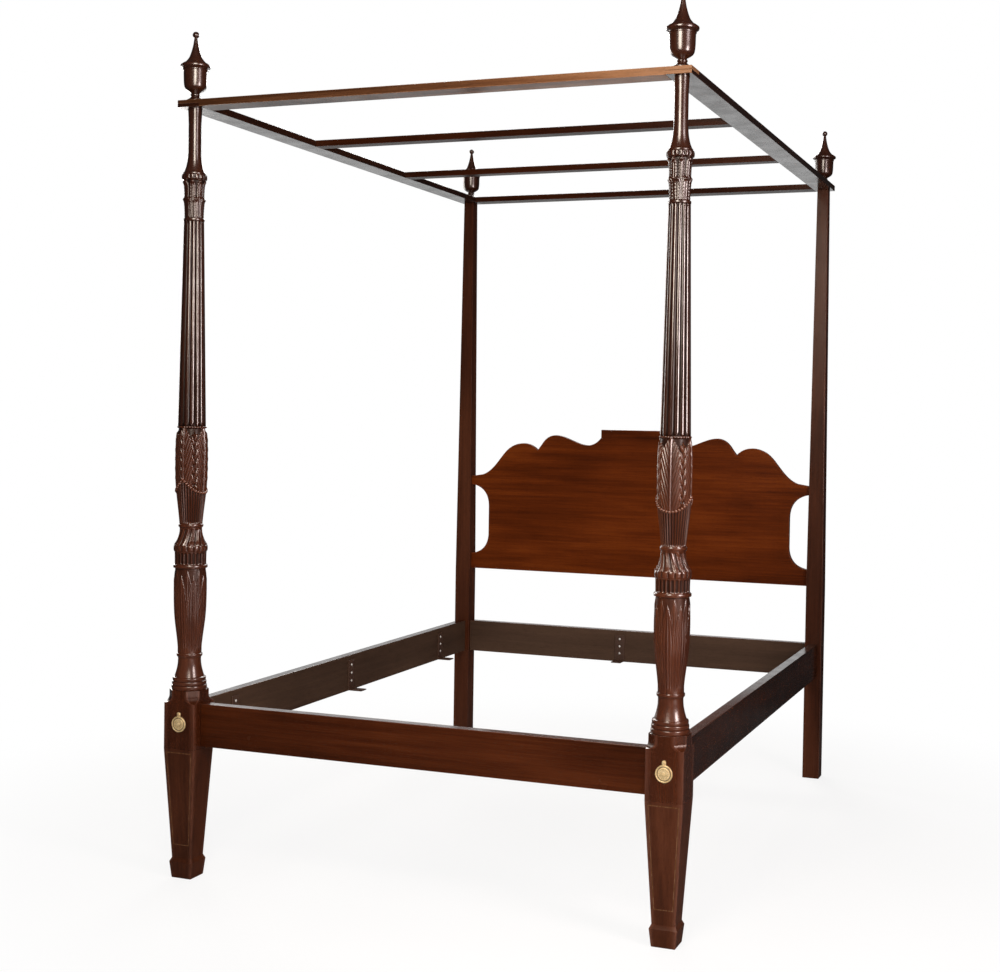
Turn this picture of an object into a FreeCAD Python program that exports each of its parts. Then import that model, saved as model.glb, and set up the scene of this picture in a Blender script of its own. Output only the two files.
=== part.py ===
"""Four-poster rice bed for a full-size mattress: carved foot posts, plain head posts, rails, headboard
and a tester frame that lifts off the post pins. Millimetres, +Z up, head of the bed towards +Y."""
import math
import os

import FreeCAD
import Part

V = FreeCAD.Vector
ORIGIN = V(0, 0, 0)
UP = V(0, 0, 1)
ACROSS = V(1, 0, 0)
ALONG = V(0, 1, 0)
DIAGONAL_SHARE = math.cos(math.radians(45))
HEXAGON_SHARE = 1 / math.cos(math.radians(30))

# Mattress and rails
mattress_width = 1372.0
mattress_length = 1905.0
mattress_play_across = 26.0
mattress_play_along = 20.0
rail_thickness = 32.0
rail_height = 122.0
rail_bottom = 380.0
tenon_thickness_share = 0.5
tenon_height_share = 0.72
tenon_length_share = 0.3
joint_clearance = 0.2

# Foot post: spade foot, leg and block
block_side = 100.0
leg_top = 372.0
ankle_side = 63.0
ankle_height = 58.0
spade_side = 74.0
spade_shoulder_height = 47.0
spade_floor_side = 64.0
cant_start = 505.0
cant_top = 550.0
cant_cut = 26.0

# Foot post: turned rings, vases and coves
base_ring_diameter = 100.0
base_ring_edge_diameter = 94.0
base_ring_top = 571.0
second_ring_diameter = 90.0
second_ring_edge_diameter = 85.0
second_ring_top = 583.0
base_cove_diameter = 82.0
lower_neck_diameter = 64.0
lower_neck_height = 626.0
lower_vase_diameter = 95.0
lower_vase_belly_height = 832.0
lower_vase_top_diameter = 87.0
lower_vase_top = 917.0
collar_diameter = 89.0
collar_top = 934.0
middle_ring_diameter = 94.0
middle_ring_edge_diameter = 86.0
middle_ring_top = 953.0
waist_diameter = 62.0
waist_height = 998.0
upper_vase_diameter = 91.0
upper_vase_belly_height = 1200.0
upper_vase_top_diameter = 80.0
upper_vase_top = 1292.0
vase_rise_shares = ((0.15, 0.19), (0.36, 0.53), (0.52, 0.78), (0.75, 0.96))
vase_fall_shares = ((0.55, 0.12), (0.78, 0.40))
cove_shares = ((0.26, 0.42), (0.5, 0.74), (0.76, 0.94))

# Foot post: reeded column, capital, bell and neck
reed_count = 14
reed_depth_share = 0.09
reed_bottom_diameter = 79.0
reed_top_diameter = 57.0
reed_top = 1876.0
capital_foot_diameter = 55.0
capital_foot_top = 1884.0
lower_tier_diameter = 66.0
lower_tier_top = 1933.0
upper_tier_foot_diameter = 57.0
upper_tier_foot_height = 1941.0
upper_tier_diameter = 66.0
upper_tier_top = 1980.0
top_ring_foot_diameter = 63.0
top_ring_bottom = 1992.0
top_ring_diameter = 72.0
top_ring_top = 2010.0
post_neck_diameter = 36.0
post_neck_bottom = 2092.0
post_neck_flare_start = 2150.0
post_top_diameter = 40.0
post_top = 2193.0
tier_shares = ((0.45, 0.22), (0.75, 0.55))
bell_shares = ((0.17, 0.44), (0.30, 0.66), (0.45, 0.83), (0.72, 0.96))

# Inlaid line panel on each foot leg
string_width = 2.0
string_depth = 1.0
string_margin = 8.0
string_top = 364.0
string_bottom = 96.0

# Head post
head_post_side = 61.0
head_post_top_side = 40.0
head_taper_start = 705.0

# Headboard
board_thickness = 22.0
board_bottom = 716.0
lower_tongue_top = 777.0
upper_tongue_bottom = 1056.0
upper_tongue_top = 1090.0
tongue_depth = 17.0
cutout_edge = 612.0
cutout_straight_low = 855.0
cutout_straight_high = 968.0
shoulder_foot = 640.0
shoulder_foot_height = 1097.0
shoulder_middle = 565.0
shoulder_middle_height = 1163.0
outer_lobe_middle = 474.0
outer_lobe_height = 1226.0
cusp_place = 405.0
cusp_height = 1199.0
inner_lobe_start_height = 1222.0
inner_lobe_start = 388.0
inner_lobe_middle = 325.0
inner_lobe_height = 1261.0
valley_middle = 194.0
valley_height = 1224.0
crest_edge = 138.0
crest_height = 1286.0
cutout_bend_share = 0.29
lobe_start_share = 0.5
lobe_start_drop_share = 0.25

# Bed bolts, nuts and bolt covers
bolt_height = 446.0
bolt_diameter = 9.5
bolt_length = 150.0
bolt_head_across = 16.0
bolt_head_height = 7.0
bolt_head_well_diameter = 24.0
bolt_head_well_depth = 12.0
bolt_hole_clearance = 0.5
bolt_end_room = 12.0
nut_side = 17.0
nut_thickness = 8.0
nut_inset = 40.0
nut_slot_clearance = 0.5
cover_diameter = 45.0
cover_plate = 2.0
cover_rim_width = 4.0
cover_rim_height = 3.6
cover_boss_diameter = 28.0
cover_boss_edge_height = 3.0
cover_boss_height = 5.0
cover_pivot_rise = 29.0
cover_tab_width = 11.0
cover_pin_diameter = 3.2
cover_pin_fit = 0.08
cover_pin_head_diameter = 6.4
cover_pin_head_height = 1.8
cover_pin_depth = 16.0
cover_gap = 0.1

# Bed irons and their screws
iron_width = 38.0
iron_thickness = 4.0
iron_reach = 52.0
iron_foot_rise = 2.0
iron_top_share = 0.86
iron_first_from_post = 215.0
iron_last_from_post = 278.0
iron_count = 3
head_iron_across = -44.0
iron_screw_pitch = 28.0
iron_screw_count = 3
screw_shank_diameter = 4.0
screw_length = 22.0
screw_head_diameter = 8.4
screw_head_height = 2.6
screw_clearance = 0.15

# Tester frame, pins and slats
tester_width = 70.0
tester_thickness = 20.0
slat_width = 48.0
slat_count = 2
slat_lap = 40.0
pin_diameter = 9.5
pin_depth = 60.0
pin_rise = 62.0
pin_clearance = 0.4
slat_screw_length = 16.0

# Finial
finial_height = 198.0
finial_foot_diameter = 50.0
finial_foot_edge = 4.0
finial_waist_diameter = 28.0
finial_waist_height = 18.0
urn_low_diameter = 53.0
urn_low_height = 38.0
urn_diameter = 65.0
urn_middle_height = 60.0
urn_top_diameter = 68.0
urn_top_height = 91.0
rim_diameter = 84.0
rim_edge_diameter = 78.0
rim_bottom_height = 94.0
rim_top_height = 104.0
spire_foot_diameter = 74.0
spire_neck_diameter = 9.0
ball_diameter = 19.0
urn_rise_shares = ((0.35, 0.22), (0.7, 0.66))
urn_swell_shares = ((0.5, 0.78),)
spire_shares = ((0.14, 0.25), (0.30, 0.50), (0.47, 0.67), (0.66, 0.84))

# Layout that follows from the sizes above
post_x = (mattress_width + mattress_play_across + rail_thickness) / 2
post_span_y = mattress_length + mattress_play_along + rail_thickness
centre_shift = (block_side - head_post_side) / 4
foot_y = centre_shift - post_span_y / 2
head_y = centre_shift + post_span_y / 2
rail_top = rail_bottom + rail_height
tester_top = post_top + tester_thickness


def box(x_pair, y_pair, z_pair):
    low = V(min(x_pair), min(y_pair), min(z_pair))
    return Part.makeBox(max(x_pair) - low.x, max(y_pair) - low.y, max(z_pair) - low.z, low)


def cylinder(diameter, start, direction, length):
    return Part.makeCylinder(diameter / 2, length, start, direction)


def mirrored(shape):
    return shape.mirror(ORIGIN, ACROSS)


def both_sides(shapes):
    return list(shapes) + [mirrored(s) for s in shapes]


def square(side, height):
    h = side / 2
    corners = [V(-h, -h, height), V(h, -h, height), V(h, h, height), V(-h, h, height)]
    return Part.makePolygon(corners + corners[:1])


def tapered(low_side, low, high_side, high):
    return Part.makeLoft([square(low_side, low), square(high_side, high)], True, True)


class Turning:
    """Outline of a turned piece, drawn upward from a flat end and closed on the axis."""

    def __init__(self, diameter, height):
        self.start = V(0, 0, height)
        self.at = V(diameter / 2, 0, height)
        self.edges = [Part.LineSegment(self.start, self.at).toShape()]

    def add(self, curve, end):
        self.edges.append(curve.toShape())
        self.at = end

    def line(self, diameter, height):
        end = V(diameter / 2, 0, height)
        self.add(Part.LineSegment(self.at, end), end)

    def bead(self, diameter, end_diameter, height):
        end = V(end_diameter / 2, 0, height)
        crown = V(diameter / 2, 0, (self.at.z + height) / 2)
        self.add(Part.Arc(self.at, crown, end), end)

    def sweep(self, diameter, height, shares):
        start = self.at
        end = V(diameter / 2, 0, height)
        points = [start]
        for rise, change in shares:
            points.append(V(start.x + (end.x - start.x) * change, 0, start.z + (end.z - start.z) * rise))
        spline = Part.BSplineCurve()
        spline.interpolate(points + [end])
        self.add(spline, end)

    def dome(self, rise):
        start = self.at
        radius = (start.x * start.x + rise * rise) / (2 * rise)
        half_turn = math.asin(start.x / radius) / 2
        tip = V(0, 0, start.z + rise)
        middle = V(radius * math.sin(half_turn), 0, tip.z - radius * (1 - math.cos(half_turn)))
        self.add(Part.Arc(start, middle, tip), tip)

    def solid(self):
        top = V(0, 0, self.at.z)
        if self.at.x > 0:
            self.line(0, self.at.z)
        closing = Part.LineSegment(top, self.start).toShape()
        return Part.Face(Part.Wire(self.edges + [closing])).revolve(ORIGIN, UP, 360)


def lower_turning():
    t = Turning(base_ring_edge_diameter, cant_top)
    t.bead(base_ring_diameter, base_ring_edge_diameter, base_ring_top)
    t.line(second_ring_edge_diameter, base_ring_top)
    t.bead(second_ring_diameter, second_ring_edge_diameter, second_ring_top)
    t.line(base_cove_diameter, second_ring_top)
    t.sweep(lower_neck_diameter, lower_neck_height, cove_shares)
    t.sweep(lower_vase_diameter, lower_vase_belly_height, vase_rise_shares)
    t.sweep(lower_vase_top_diameter, lower_vase_top, vase_fall_shares)
    t.line(collar_diameter, collar_top)
    t.line(middle_ring_edge_diameter, collar_top)
    t.bead(middle_ring_diameter, middle_ring_edge_diameter, middle_ring_top)
    t.sweep(waist_diameter, waist_height, cove_shares)
    t.sweep(upper_vase_diameter, upper_vase_belly_height, vase_rise_shares)
    t.sweep(upper_vase_top_diameter, upper_vase_top, vase_fall_shares)
    return t.solid()


def reed_ring(diameter, height):
    crest = diameter / 2
    valley = crest * (1 - reed_depth_share)
    half_step = math.pi / reed_count

    def place(radius, angle):
        return V(radius * math.cos(angle), radius * math.sin(angle), height)

    edges = []
    for i in range(reed_count):
        middle = 2 * half_step * i
        ends = [place(valley, middle - half_step), place(valley, middle + half_step)]
        edges.append(Part.Arc(ends[0], place(crest, middle), ends[1]).toShape())
    return Part.Wire(edges)


def reeded_column():
    rings = [reed_ring(reed_bottom_diameter, upper_vase_top), reed_ring(reed_top_diameter, reed_top)]
    return Part.makeLoft(rings, True, True)


def upper_turning():
    t = Turning(capital_foot_diameter, reed_top)
    t.line(capital_foot_diameter, capital_foot_top)
    t.sweep(lower_tier_diameter, lower_tier_top, tier_shares)
    t.line(upper_tier_foot_diameter, upper_tier_foot_height)
    t.sweep(upper_tier_diameter, upper_tier_top, tier_shares)
    t.line(top_ring_foot_diameter, top_ring_bottom)
    t.bead(top_ring_diameter, top_ring_foot_diameter, top_ring_top)
    t.sweep(post_neck_diameter, post_neck_bottom, bell_shares)
    t.line(post_neck_diameter, post_neck_flare_start)
    t.line(post_top_diameter, post_top)
    return t.solid()


def corner_cant(turn):
    """Cutter that cants one corner of the block and ends below in a hollow stop."""
    depth = cant_cut * DIAGONAL_SHARE
    face = block_side * DIAGONAL_SHARE - depth
    low = V(face, 0, cant_start + depth)
    bow = depth * (1 - DIAGONAL_SHARE)
    corner = V(face + depth, 0, cant_start)
    edges = [Part.Arc(low, V(face + bow, 0, cant_start + bow), corner).toShape()]
    out = face + 2 * depth
    high = cant_top + depth
    corners = [corner, V(out, 0, cant_start), V(out, 0, high), V(face, 0, high), low]
    edges += [Part.LineSegment(a, b).toShape() for a, b in zip(corners, corners[1:])]
    tool = Part.Face(Part.Wire(edges)).extrude(V(0, block_side, 0))
    tool.translate(V(0, -block_side / 2, 0))
    tool.rotate(ORIGIN, UP, 45 + 90 * turn)
    return tool


def leg_shape(inset):
    high = block_side - 2 * inset
    return tapered(ankle_side - 2 * inset, ankle_height, high, leg_top)


def leg_strings():
    """Inlaid lines let into the front of one leg, cut from a thin skin of the leg itself."""
    lean = (block_side - ankle_side) / 2 / (leg_top - ankle_height)

    def panel(margin, low, high):
        half_low = ankle_side / 2 + lean * (low - ankle_height) - margin
        half_high = ankle_side / 2 + lean * (high - ankle_height) - margin
        points = [V(-half_low, 0, low), V(half_low, 0, low), V(half_high, 0, high), V(-half_high, 0, high)]
        return Part.Face(Part.makePolygon(points + points[:1])).extrude(V(0, -block_side, 0))

    frame = panel(string_margin, string_bottom, string_top)
    inner = panel(string_margin + string_width, string_bottom + string_width, string_top - string_width)
    return leg_shape(0).cut(leg_shape(string_depth)).common(frame.cut(inner))


def tenon_box(x_pair, y_pair, grow):
    """Tenon along the rail's end, or with grow the mortise for it."""
    middle = rail_bottom + rail_height / 2
    half = rail_height * tenon_height_share / 2
    return box((min(x_pair) - grow, max(x_pair) + grow), (min(y_pair) - grow, max(y_pair) + grow),
               (middle - half - grow, middle + half + grow))


# Tenon places on the right-hand posts
half_block = block_side / 2
half_head = head_post_side / 2
tenon_half = rail_thickness * tenon_thickness_share / 2
foot_tenon = block_side * tenon_length_share
head_tenon = head_post_side * tenon_length_share
end_rail_tenons = {
    foot_y: (post_x - half_block, post_x - half_block + foot_tenon),
    head_y: (post_x - half_head, post_x - half_head + head_tenon),
}
side_rail_tenons = (
    (foot_y + half_block - foot_tenon, foot_y + half_block),
    (head_y - half_head, head_y - half_head + head_tenon),
)
side_x_pair = (post_x - tenon_half, post_x + tenon_half)


def end_tenon(y, grow):
    return tenon_box(end_rail_tenons[y], (y - tenon_half, y + tenon_half), grow)


def side_tenon(y_pair, grow):
    return tenon_box(side_x_pair, y_pair, grow)


# Bolt ends on the right-hand side: post face, direction inward and the rail's shoulder
bolt_ends = (
    (foot_y - half_block, ALONG, foot_y + half_block),
    (head_y + half_head, ALONG * -1, head_y - half_head),
)


def bolt_holes(end):
    face, inward, _ = end
    start = V(post_x, face, bolt_height)
    well = cylinder(bolt_head_well_diameter, start, inward, bolt_head_well_depth)
    length = bolt_head_well_depth + bolt_length + bolt_end_room
    return well.fuse(cylinder(bolt_diameter + 2 * bolt_hole_clearance, start, inward, length))


def bed_bolt(end):
    face, inward, _ = end
    seat = V(post_x, face, bolt_height) + inward * bolt_head_well_depth
    shank = cylinder(bolt_diameter, seat, inward, bolt_length)
    radius = bolt_head_across / 2 * HEXAGON_SHARE
    angles = [math.radians(60 * i) for i in range(7)]
    points = [V(radius * math.cos(a), 0, radius * math.sin(a)) for a in angles]
    head = Part.Face(Part.makePolygon(points)).extrude(inward * -bolt_head_height)
    head.translate(seat)
    return shank.fuse(head)


def nut_block(end, side, thickness):
    _, inward, shoulder = end
    middle = shoulder + inward.y * nut_inset
    half = side / 2
    return box((post_x - half, post_x + half), (middle - thickness / 2, middle + thickness / 2),
               (bolt_height - half, bolt_height + half))


def square_nut(end):
    start = V(post_x, end[2], bolt_height)
    hole = cylinder(bolt_diameter + 2 * screw_clearance, start, end[1], 2 * nut_inset)
    return nut_block(end, nut_side, nut_thickness).cut(hole)


def nut_slot(end):
    """Slot for the nut, open at the rail's underside."""
    pocket = nut_block(end, nut_side + 2 * nut_slot_clearance, nut_thickness + 2 * nut_slot_clearance)
    b = pocket.BoundBox
    return box((b.XMin, b.XMax), (b.YMin, b.YMax), (rail_bottom, b.ZMax))


# Bolt covers, drawn on the XZ plane facing the foot of the bed
def bolt_cover():
    rim_inner = cover_diameter - 2 * cover_rim_width
    t = Turning(cover_diameter, 0)
    t.line(cover_diameter, cover_rim_height)
    t.line(rim_inner, cover_rim_height)
    t.line(rim_inner, cover_plate)
    t.line(cover_boss_diameter, cover_plate)
    t.line(cover_boss_diameter, cover_boss_edge_height)
    t.dome(cover_boss_height - cover_boss_edge_height)
    disc = t.solid()
    disc.rotate(ORIGIN, ACROSS, 90)
    half_tab = cover_tab_width / 2
    tab = box((-half_tab, half_tab), (-cover_plate, 0), (rim_inner / 2, cover_pivot_rise))
    pivot = V(0, 0, cover_pivot_rise)
    tab = tab.fuse(cylinder(cover_tab_width, pivot, ALONG * -1, cover_plate))
    hole = cylinder(cover_pin_diameter + 2 * cover_pin_fit, pivot, ALONG * -1, cover_rim_height)
    return disc.fuse(tab).cut(hole).removeSplitter()


def cover_pin(grow=0.0):
    pivot = V(0, cover_pin_depth, cover_pivot_rise)
    out = cover_pin_depth + cover_plate + 2 * cover_gap
    shank = cylinder(cover_pin_diameter + 2 * grow, pivot, ALONG * -1, out)
    under_head = V(0, -(cover_plate + 2 * cover_gap), cover_pivot_rise)
    return shank.fuse(cylinder(cover_pin_head_diameter, under_head, ALONG * -1, cover_pin_head_height))


def placed_on_post(shape, end, gap):
    face, inward, _ = end
    s = shape.copy()
    s.translate(V(0, -gap, 0))
    if inward.y < 0:
        s.rotate(ORIGIN, UP, 180)
    s.translate(V(post_x, face, bolt_height))
    return s


# Screws with a round head, drawn with the head's seat at the origin and the head towards +Z
def round_screw(length):
    t = Turning(screw_shank_diameter, -length)
    t.line(screw_shank_diameter, 0)
    t.line(screw_head_diameter, 0)
    t.dome(screw_head_height)
    return t.solid()


# Bed irons: an angle screwed to the rail's inner face, drawn at the origin with its plate on the YZ plane
def bed_iron():
    high = rail_bottom + rail_height * iron_top_share
    low = rail_bottom + iron_foot_rise
    half = iron_width / 2
    plate = box((-iron_thickness, 0), (-half, half), (low, high))
    foot = box((-iron_reach, 0), (-half, half), (low, low + iron_thickness))
    iron = plate.fuse(foot)
    for place in screw_places():
        start = V(-iron_thickness, 0, place)
        iron = iron.cut(cylinder(screw_shank_diameter + 2 * screw_clearance, start, ACROSS, iron_thickness))
    return iron.removeSplitter()


def screw_places():
    middle = rail_bottom + rail_height / 2
    return [middle + iron_screw_pitch * (i - (iron_screw_count - 1) / 2) for i in range(iron_screw_count)]


def iron_screws(shank_grow=0.0):
    screws = []
    for place in screw_places():
        if shank_grow:
            seat = V(-iron_thickness, 0, place)
            width = screw_shank_diameter + 2 * shank_grow
            s = cylinder(width, seat, ACROSS, screw_length + screw_clearance)
        else:
            s = round_screw(screw_length)
            s.rotate(ORIGIN, ALONG, -90)
            s.translate(V(-iron_thickness, 0, place))
        screws.append(s)
    return screws


def on_right_rail(shape, y):
    s = shape.copy()
    s.translate(V(post_x - rail_thickness / 2, y, 0))
    return s


def on_head_rail(shape):
    s = shape.copy()
    s.rotate(ORIGIN, UP, 90)
    s.translate(V(head_iron_across, head_y - rail_thickness / 2, 0))
    return s


first_iron = foot_y + iron_first_from_post
iron_step = (head_y - iron_last_from_post - first_iron) / (iron_count - 1)
iron_rows = [first_iron + iron_step * i for i in range(iron_count)]


# Posts
def foot_post():
    pieces = [
        tapered(spade_floor_side, 0, spade_side, spade_shoulder_height),
        tapered(spade_side, spade_shoulder_height, ankle_side, ankle_height),
        leg_shape(0),
    ]
    block = box((-half_block, half_block), (-half_block, half_block), (leg_top, cant_top))
    for turn in range(4):
        block = block.cut(corner_cant(turn))
    pieces += [block, lower_turning(), reeded_column(), upper_turning()]
    post = pieces[0].multiFuse(pieces[1:]).removeSplitter().cut(leg_strings())
    post.translate(V(post_x, foot_y, 0))
    return drilled(post, foot_y, side_rail_tenons[0], bolt_ends[0])


def drilled(post, y, rail_tenon, end):
    """The post with its mortises and its holes for the bolt, the cover pin and the tester pin."""
    post = post.cut(end_tenon(y, joint_clearance)).cut(side_tenon(rail_tenon, joint_clearance))
    post = post.cut(bolt_holes(end)).cut(placed_on_post(cover_pin(screw_clearance), end, 0))
    return post.cut(pin_hole(y))


def head_post():
    straight = box((-half_head, half_head), (-half_head, half_head), (0, head_taper_start))
    post = straight.fuse(tapered(head_post_side, head_taper_start, head_post_top_side, post_top))
    post.translate(V(post_x, head_y, 0))
    post = drilled(post, head_y, side_rail_tenons[1], bolt_ends[1])
    half = board_thickness / 2 + joint_clearance
    for low, high in ((board_bottom, lower_tongue_top), (upper_tongue_bottom, upper_tongue_top)):
        slot = box((0, tongue_end() + joint_clearance), (head_y - half, head_y + half),
                   (low - joint_clearance, high + joint_clearance))
        post = post.cut(slot)
    return post


def pin_hole(y):
    start = V(post_x, y, post_top - pin_depth)
    return cylinder(pin_diameter + 2 * screw_clearance, start, UP, pin_depth)


def tester_pin(y):
    return cylinder(pin_diameter, V(post_x, y, post_top - pin_depth), UP, pin_depth + pin_rise)


# Rails
def end_rail(y, post_half):
    x = post_x - post_half
    half = rail_thickness / 2
    rail = box((-x, x), (y - half, y + half), (rail_bottom, rail_top))
    tenon = end_tenon(y, 0)
    return rail.fuse(tenon).fuse(mirrored(tenon)).removeSplitter()


def side_rail():
    half = rail_thickness / 2
    rail = box((post_x - half, post_x + half), (side_rail_tenons[0][1], side_rail_tenons[1][0]),
               (rail_bottom, rail_top))
    for y_pair in side_rail_tenons:
        rail = rail.fuse(side_tenon(y_pair, 0))
    for end in bolt_ends:
        rail = rail.cut(bolt_holes(end)).cut(nut_slot(end))
    for y in iron_rows:
        for s in iron_screws(screw_clearance):
            rail = rail.cut(on_right_rail(s, y))
    return rail.removeSplitter()


# Headboard
def tongue_end():
    return post_x - half_head + tongue_depth


def headboard():
    def at(x, z):
        return V(x, head_y - board_thickness / 2, z)

    def spline(points):
        curve = Part.BSplineCurve()
        curve.interpolate(points)
        return curve.toShape()

    def line(a, b):
        return Part.LineSegment(a, b).toShape()

    tip = tongue_end()
    cut_low = at(tip, lower_tongue_top)
    cut_high = at(tip, upper_tongue_bottom)
    inner_low = at(cutout_edge, cutout_straight_low)
    inner_high = at(cutout_edge, cutout_straight_high)
    root = post_x - half_head
    low_turn = at(root, lower_tongue_top)
    high_turn = at(root, upper_tongue_bottom)
    bend_x = cutout_edge + (root - cutout_edge) * cutout_bend_share
    low_bend = at(bend_x, lower_tongue_top + (inner_low.z - lower_tongue_top) * cutout_bend_share)
    high_bend = at(bend_x, upper_tongue_bottom - (upper_tongue_bottom - inner_high.z) * cutout_bend_share)
    shoulder = at(shoulder_foot, shoulder_foot_height)
    lobe_drop = (outer_lobe_height - shoulder_middle_height) * lobe_start_drop_share
    lobe_start_x = outer_lobe_middle + (shoulder_middle - outer_lobe_middle) * lobe_start_share
    lobe_start = at(lobe_start_x, outer_lobe_height - lobe_drop)
    cusp = at(cusp_place, cusp_height)
    inner_start = at(inner_lobe_start, inner_lobe_start_height)
    crest_low = at(crest_edge, (valley_height + crest_height) / 2)
    crest = at(crest_edge, crest_height)
    edges = [
        line(at(0, board_bottom), at(tip, board_bottom)),
        line(at(tip, board_bottom), cut_low),
        line(cut_low, low_turn),
        spline([low_turn, low_bend, inner_low]),
        line(inner_low, inner_high),
        spline([inner_high, high_bend, high_turn]),
        line(high_turn, cut_high),
        line(cut_high, at(tip, upper_tongue_top)),
        line(at(tip, upper_tongue_top), at(root, upper_tongue_top)),
        line(at(root, upper_tongue_top), shoulder),
        spline([shoulder, at(shoulder_middle, shoulder_middle_height), lobe_start,
                at(outer_lobe_middle, outer_lobe_height), cusp]),
        line(cusp, inner_start),
        spline([inner_start, at(inner_lobe_middle, inner_lobe_height),
                at(valley_middle, valley_height), crest_low]),
        line(crest_low, crest),
        line(crest, at(0, crest_height)),
    ]
    half_outline = Part.Wire(edges)
    closing = line(at(0, crest_height), at(0, board_bottom))
    half = Part.Face(Part.Wire(half_outline.Edges + [closing])).extrude(ALONG * board_thickness)
    return half.fuse(mirrored(half)).removeSplitter()


# Tester frame
tester_z = (post_top, tester_top)
lap_z = post_top + tester_thickness / 2
tester_half = tester_width / 2
slat_rows = [foot_y + post_span_y * (i + 1) / (slat_count + 1) for i in range(slat_count)]


def tester_side_rail():
    x_pair = (post_x - tester_half, post_x + tester_half)
    rail = box(x_pair, (foot_y - tester_half, head_y + tester_half), tester_z)
    for y in (foot_y, head_y):
        rail = rail.cut(box(x_pair, (y - tester_half, y + tester_half), (lap_z, tester_top)))
        rail = rail.cut(tester_hole(y))
    for y in slat_rows:
        rail = rail.cut(box((x_pair[0], x_pair[0] + slat_lap), slat_y(y), (lap_z, tester_top)))
        rail = rail.cut(slat_screw_hole(y))
    return rail


def tester_end_rail(y):
    x = post_x + tester_half
    rail = box((-x, x), (y - tester_half, y + tester_half), tester_z)
    lap = box((post_x - tester_half, x), (y - tester_half, y + tester_half), (post_top, lap_z))
    lap = lap.fuse(tester_hole(y))
    return rail.cut(lap).cut(mirrored(lap))


def tester_slat(y):
    x = post_x - tester_half
    slat = box((-x, x), slat_y(y), tester_z)
    tail = box((x, x + slat_lap), slat_y(y), (lap_z, tester_top)).cut(slat_screw_hole(y))
    return slat.fuse(tail).fuse(mirrored(tail)).removeSplitter()


def slat_y(y):
    return (y - slat_width / 2, y + slat_width / 2)


def tester_hole(y):
    return cylinder(pin_diameter + 2 * pin_clearance, V(post_x, y, post_top), UP, tester_thickness)


def slat_screw_place(y):
    return V(post_x - tester_half + slat_lap / 2, y, tester_top)


def slat_screw_hole(y):
    depth = slat_screw_length + screw_clearance
    start = slat_screw_place(y) - UP * depth
    return cylinder(screw_shank_diameter + 2 * screw_clearance, start, UP, depth)


def slat_screw(y):
    s = round_screw(slat_screw_length)
    s.translate(slat_screw_place(y))
    return s


# Finial, with its socket for the post pin
def finial(y):
    t = Turning(finial_foot_diameter, 0)
    t.line(finial_foot_diameter, finial_foot_edge)
    t.sweep(finial_waist_diameter, finial_waist_height, cove_shares)
    t.sweep(urn_low_diameter, urn_low_height, urn_rise_shares)
    t.sweep(urn_diameter, urn_middle_height, urn_swell_shares)
    t.line(urn_top_diameter, urn_top_height)
    t.line(rim_edge_diameter, rim_bottom_height)
    t.bead(rim_diameter, rim_edge_diameter, rim_top_height)
    t.line(spire_foot_diameter, rim_top_height)
    radius = ball_diameter / 2
    ball_middle = finial_height - radius
    neck = spire_neck_diameter / 2
    t.sweep(spire_neck_diameter, ball_middle - math.sqrt(radius * radius - neck * neck), spire_shares)
    tip = V(0, 0, finial_height)
    t.add(Part.Arc(t.at, V(radius, 0, ball_middle), tip), tip)
    socket_depth = pin_rise - tester_thickness + pin_clearance
    piece = t.solid().cut(cylinder(pin_diameter + 2 * pin_clearance, ORIGIN, UP, socket_depth))
    piece.translate(V(post_x, y, tester_top))
    return piece


# Build every node; left-hand pieces mirror the right-hand ones
nodes = {}


def pair(name, right):
    nodes[name + "_right"] = right
    nodes[name + "_left"] = mirrored(right)


pair("foot_post", foot_post())
pair("head_post", head_post())
nodes["foot_rail"] = end_rail(foot_y, half_block)
head_rail = end_rail(head_y, half_head)
for screw in iron_screws(screw_clearance):
    head_rail = head_rail.cut(on_head_rail(screw))
nodes["head_rail"] = head_rail
pair("side_rail", side_rail())
nodes["headboard"] = headboard()

strings = leg_strings()
strings.translate(V(post_x, foot_y, 0))
nodes["leg_stringing"] = Part.makeCompound(both_sides(strings.Solids))

nodes["bed_bolts"] = Part.makeCompound(both_sides([bed_bolt(end) for end in bolt_ends]))
nodes["bed_bolt_nuts"] = Part.makeCompound(both_sides([square_nut(end) for end in bolt_ends]))
pins = [placed_on_post(cover_pin(), end, 0) for end in bolt_ends]
nodes["cover_pins"] = Part.makeCompound(both_sides(pins))
for end_name, end in zip(("foot", "head"), bolt_ends):
    pair("bolt_cover_" + end_name, placed_on_post(bolt_cover(), end, cover_gap))

all_screws = []
for number, y in enumerate(iron_rows, 1):
    pair("bed_iron_%d" % number, on_right_rail(bed_iron(), y))
    all_screws += both_sides([on_right_rail(s, y) for s in iron_screws()])
nodes["bed_iron_head"] = on_head_rail(bed_iron())
nodes["bed_iron_screws"] = Part.makeCompound(all_screws + [on_head_rail(s) for s in iron_screws()])

nodes["tester_pins"] = Part.makeCompound(both_sides([tester_pin(y) for y in (foot_y, head_y)]))
pair("tester_side_rail", tester_side_rail())
nodes["tester_foot_rail"] = tester_end_rail(foot_y)
nodes["tester_head_rail"] = tester_end_rail(head_y)
for number, y in enumerate(slat_rows, 1):
    nodes["tester_slat_%d" % number] = tester_slat(y)
nodes["tester_slat_screws"] = Part.makeCompound(both_sides([slat_screw(y) for y in slat_rows]))
for end_name, y in (("foot", foot_y), ("head", head_y)):
    pair("finial_" + end_name, finial(y))

os.makedirs("parts", exist_ok=True)
for name, shape in nodes.items():
    shape.exportStep("parts/%s.step" % name)
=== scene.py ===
"""Looks of the rice bed: carved foot posts, eased boards, brass bolt covers, irons and screws."""
import math

import bmesh
import bpy
import numpy as np
from mathutils import Matrix, Vector


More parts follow.
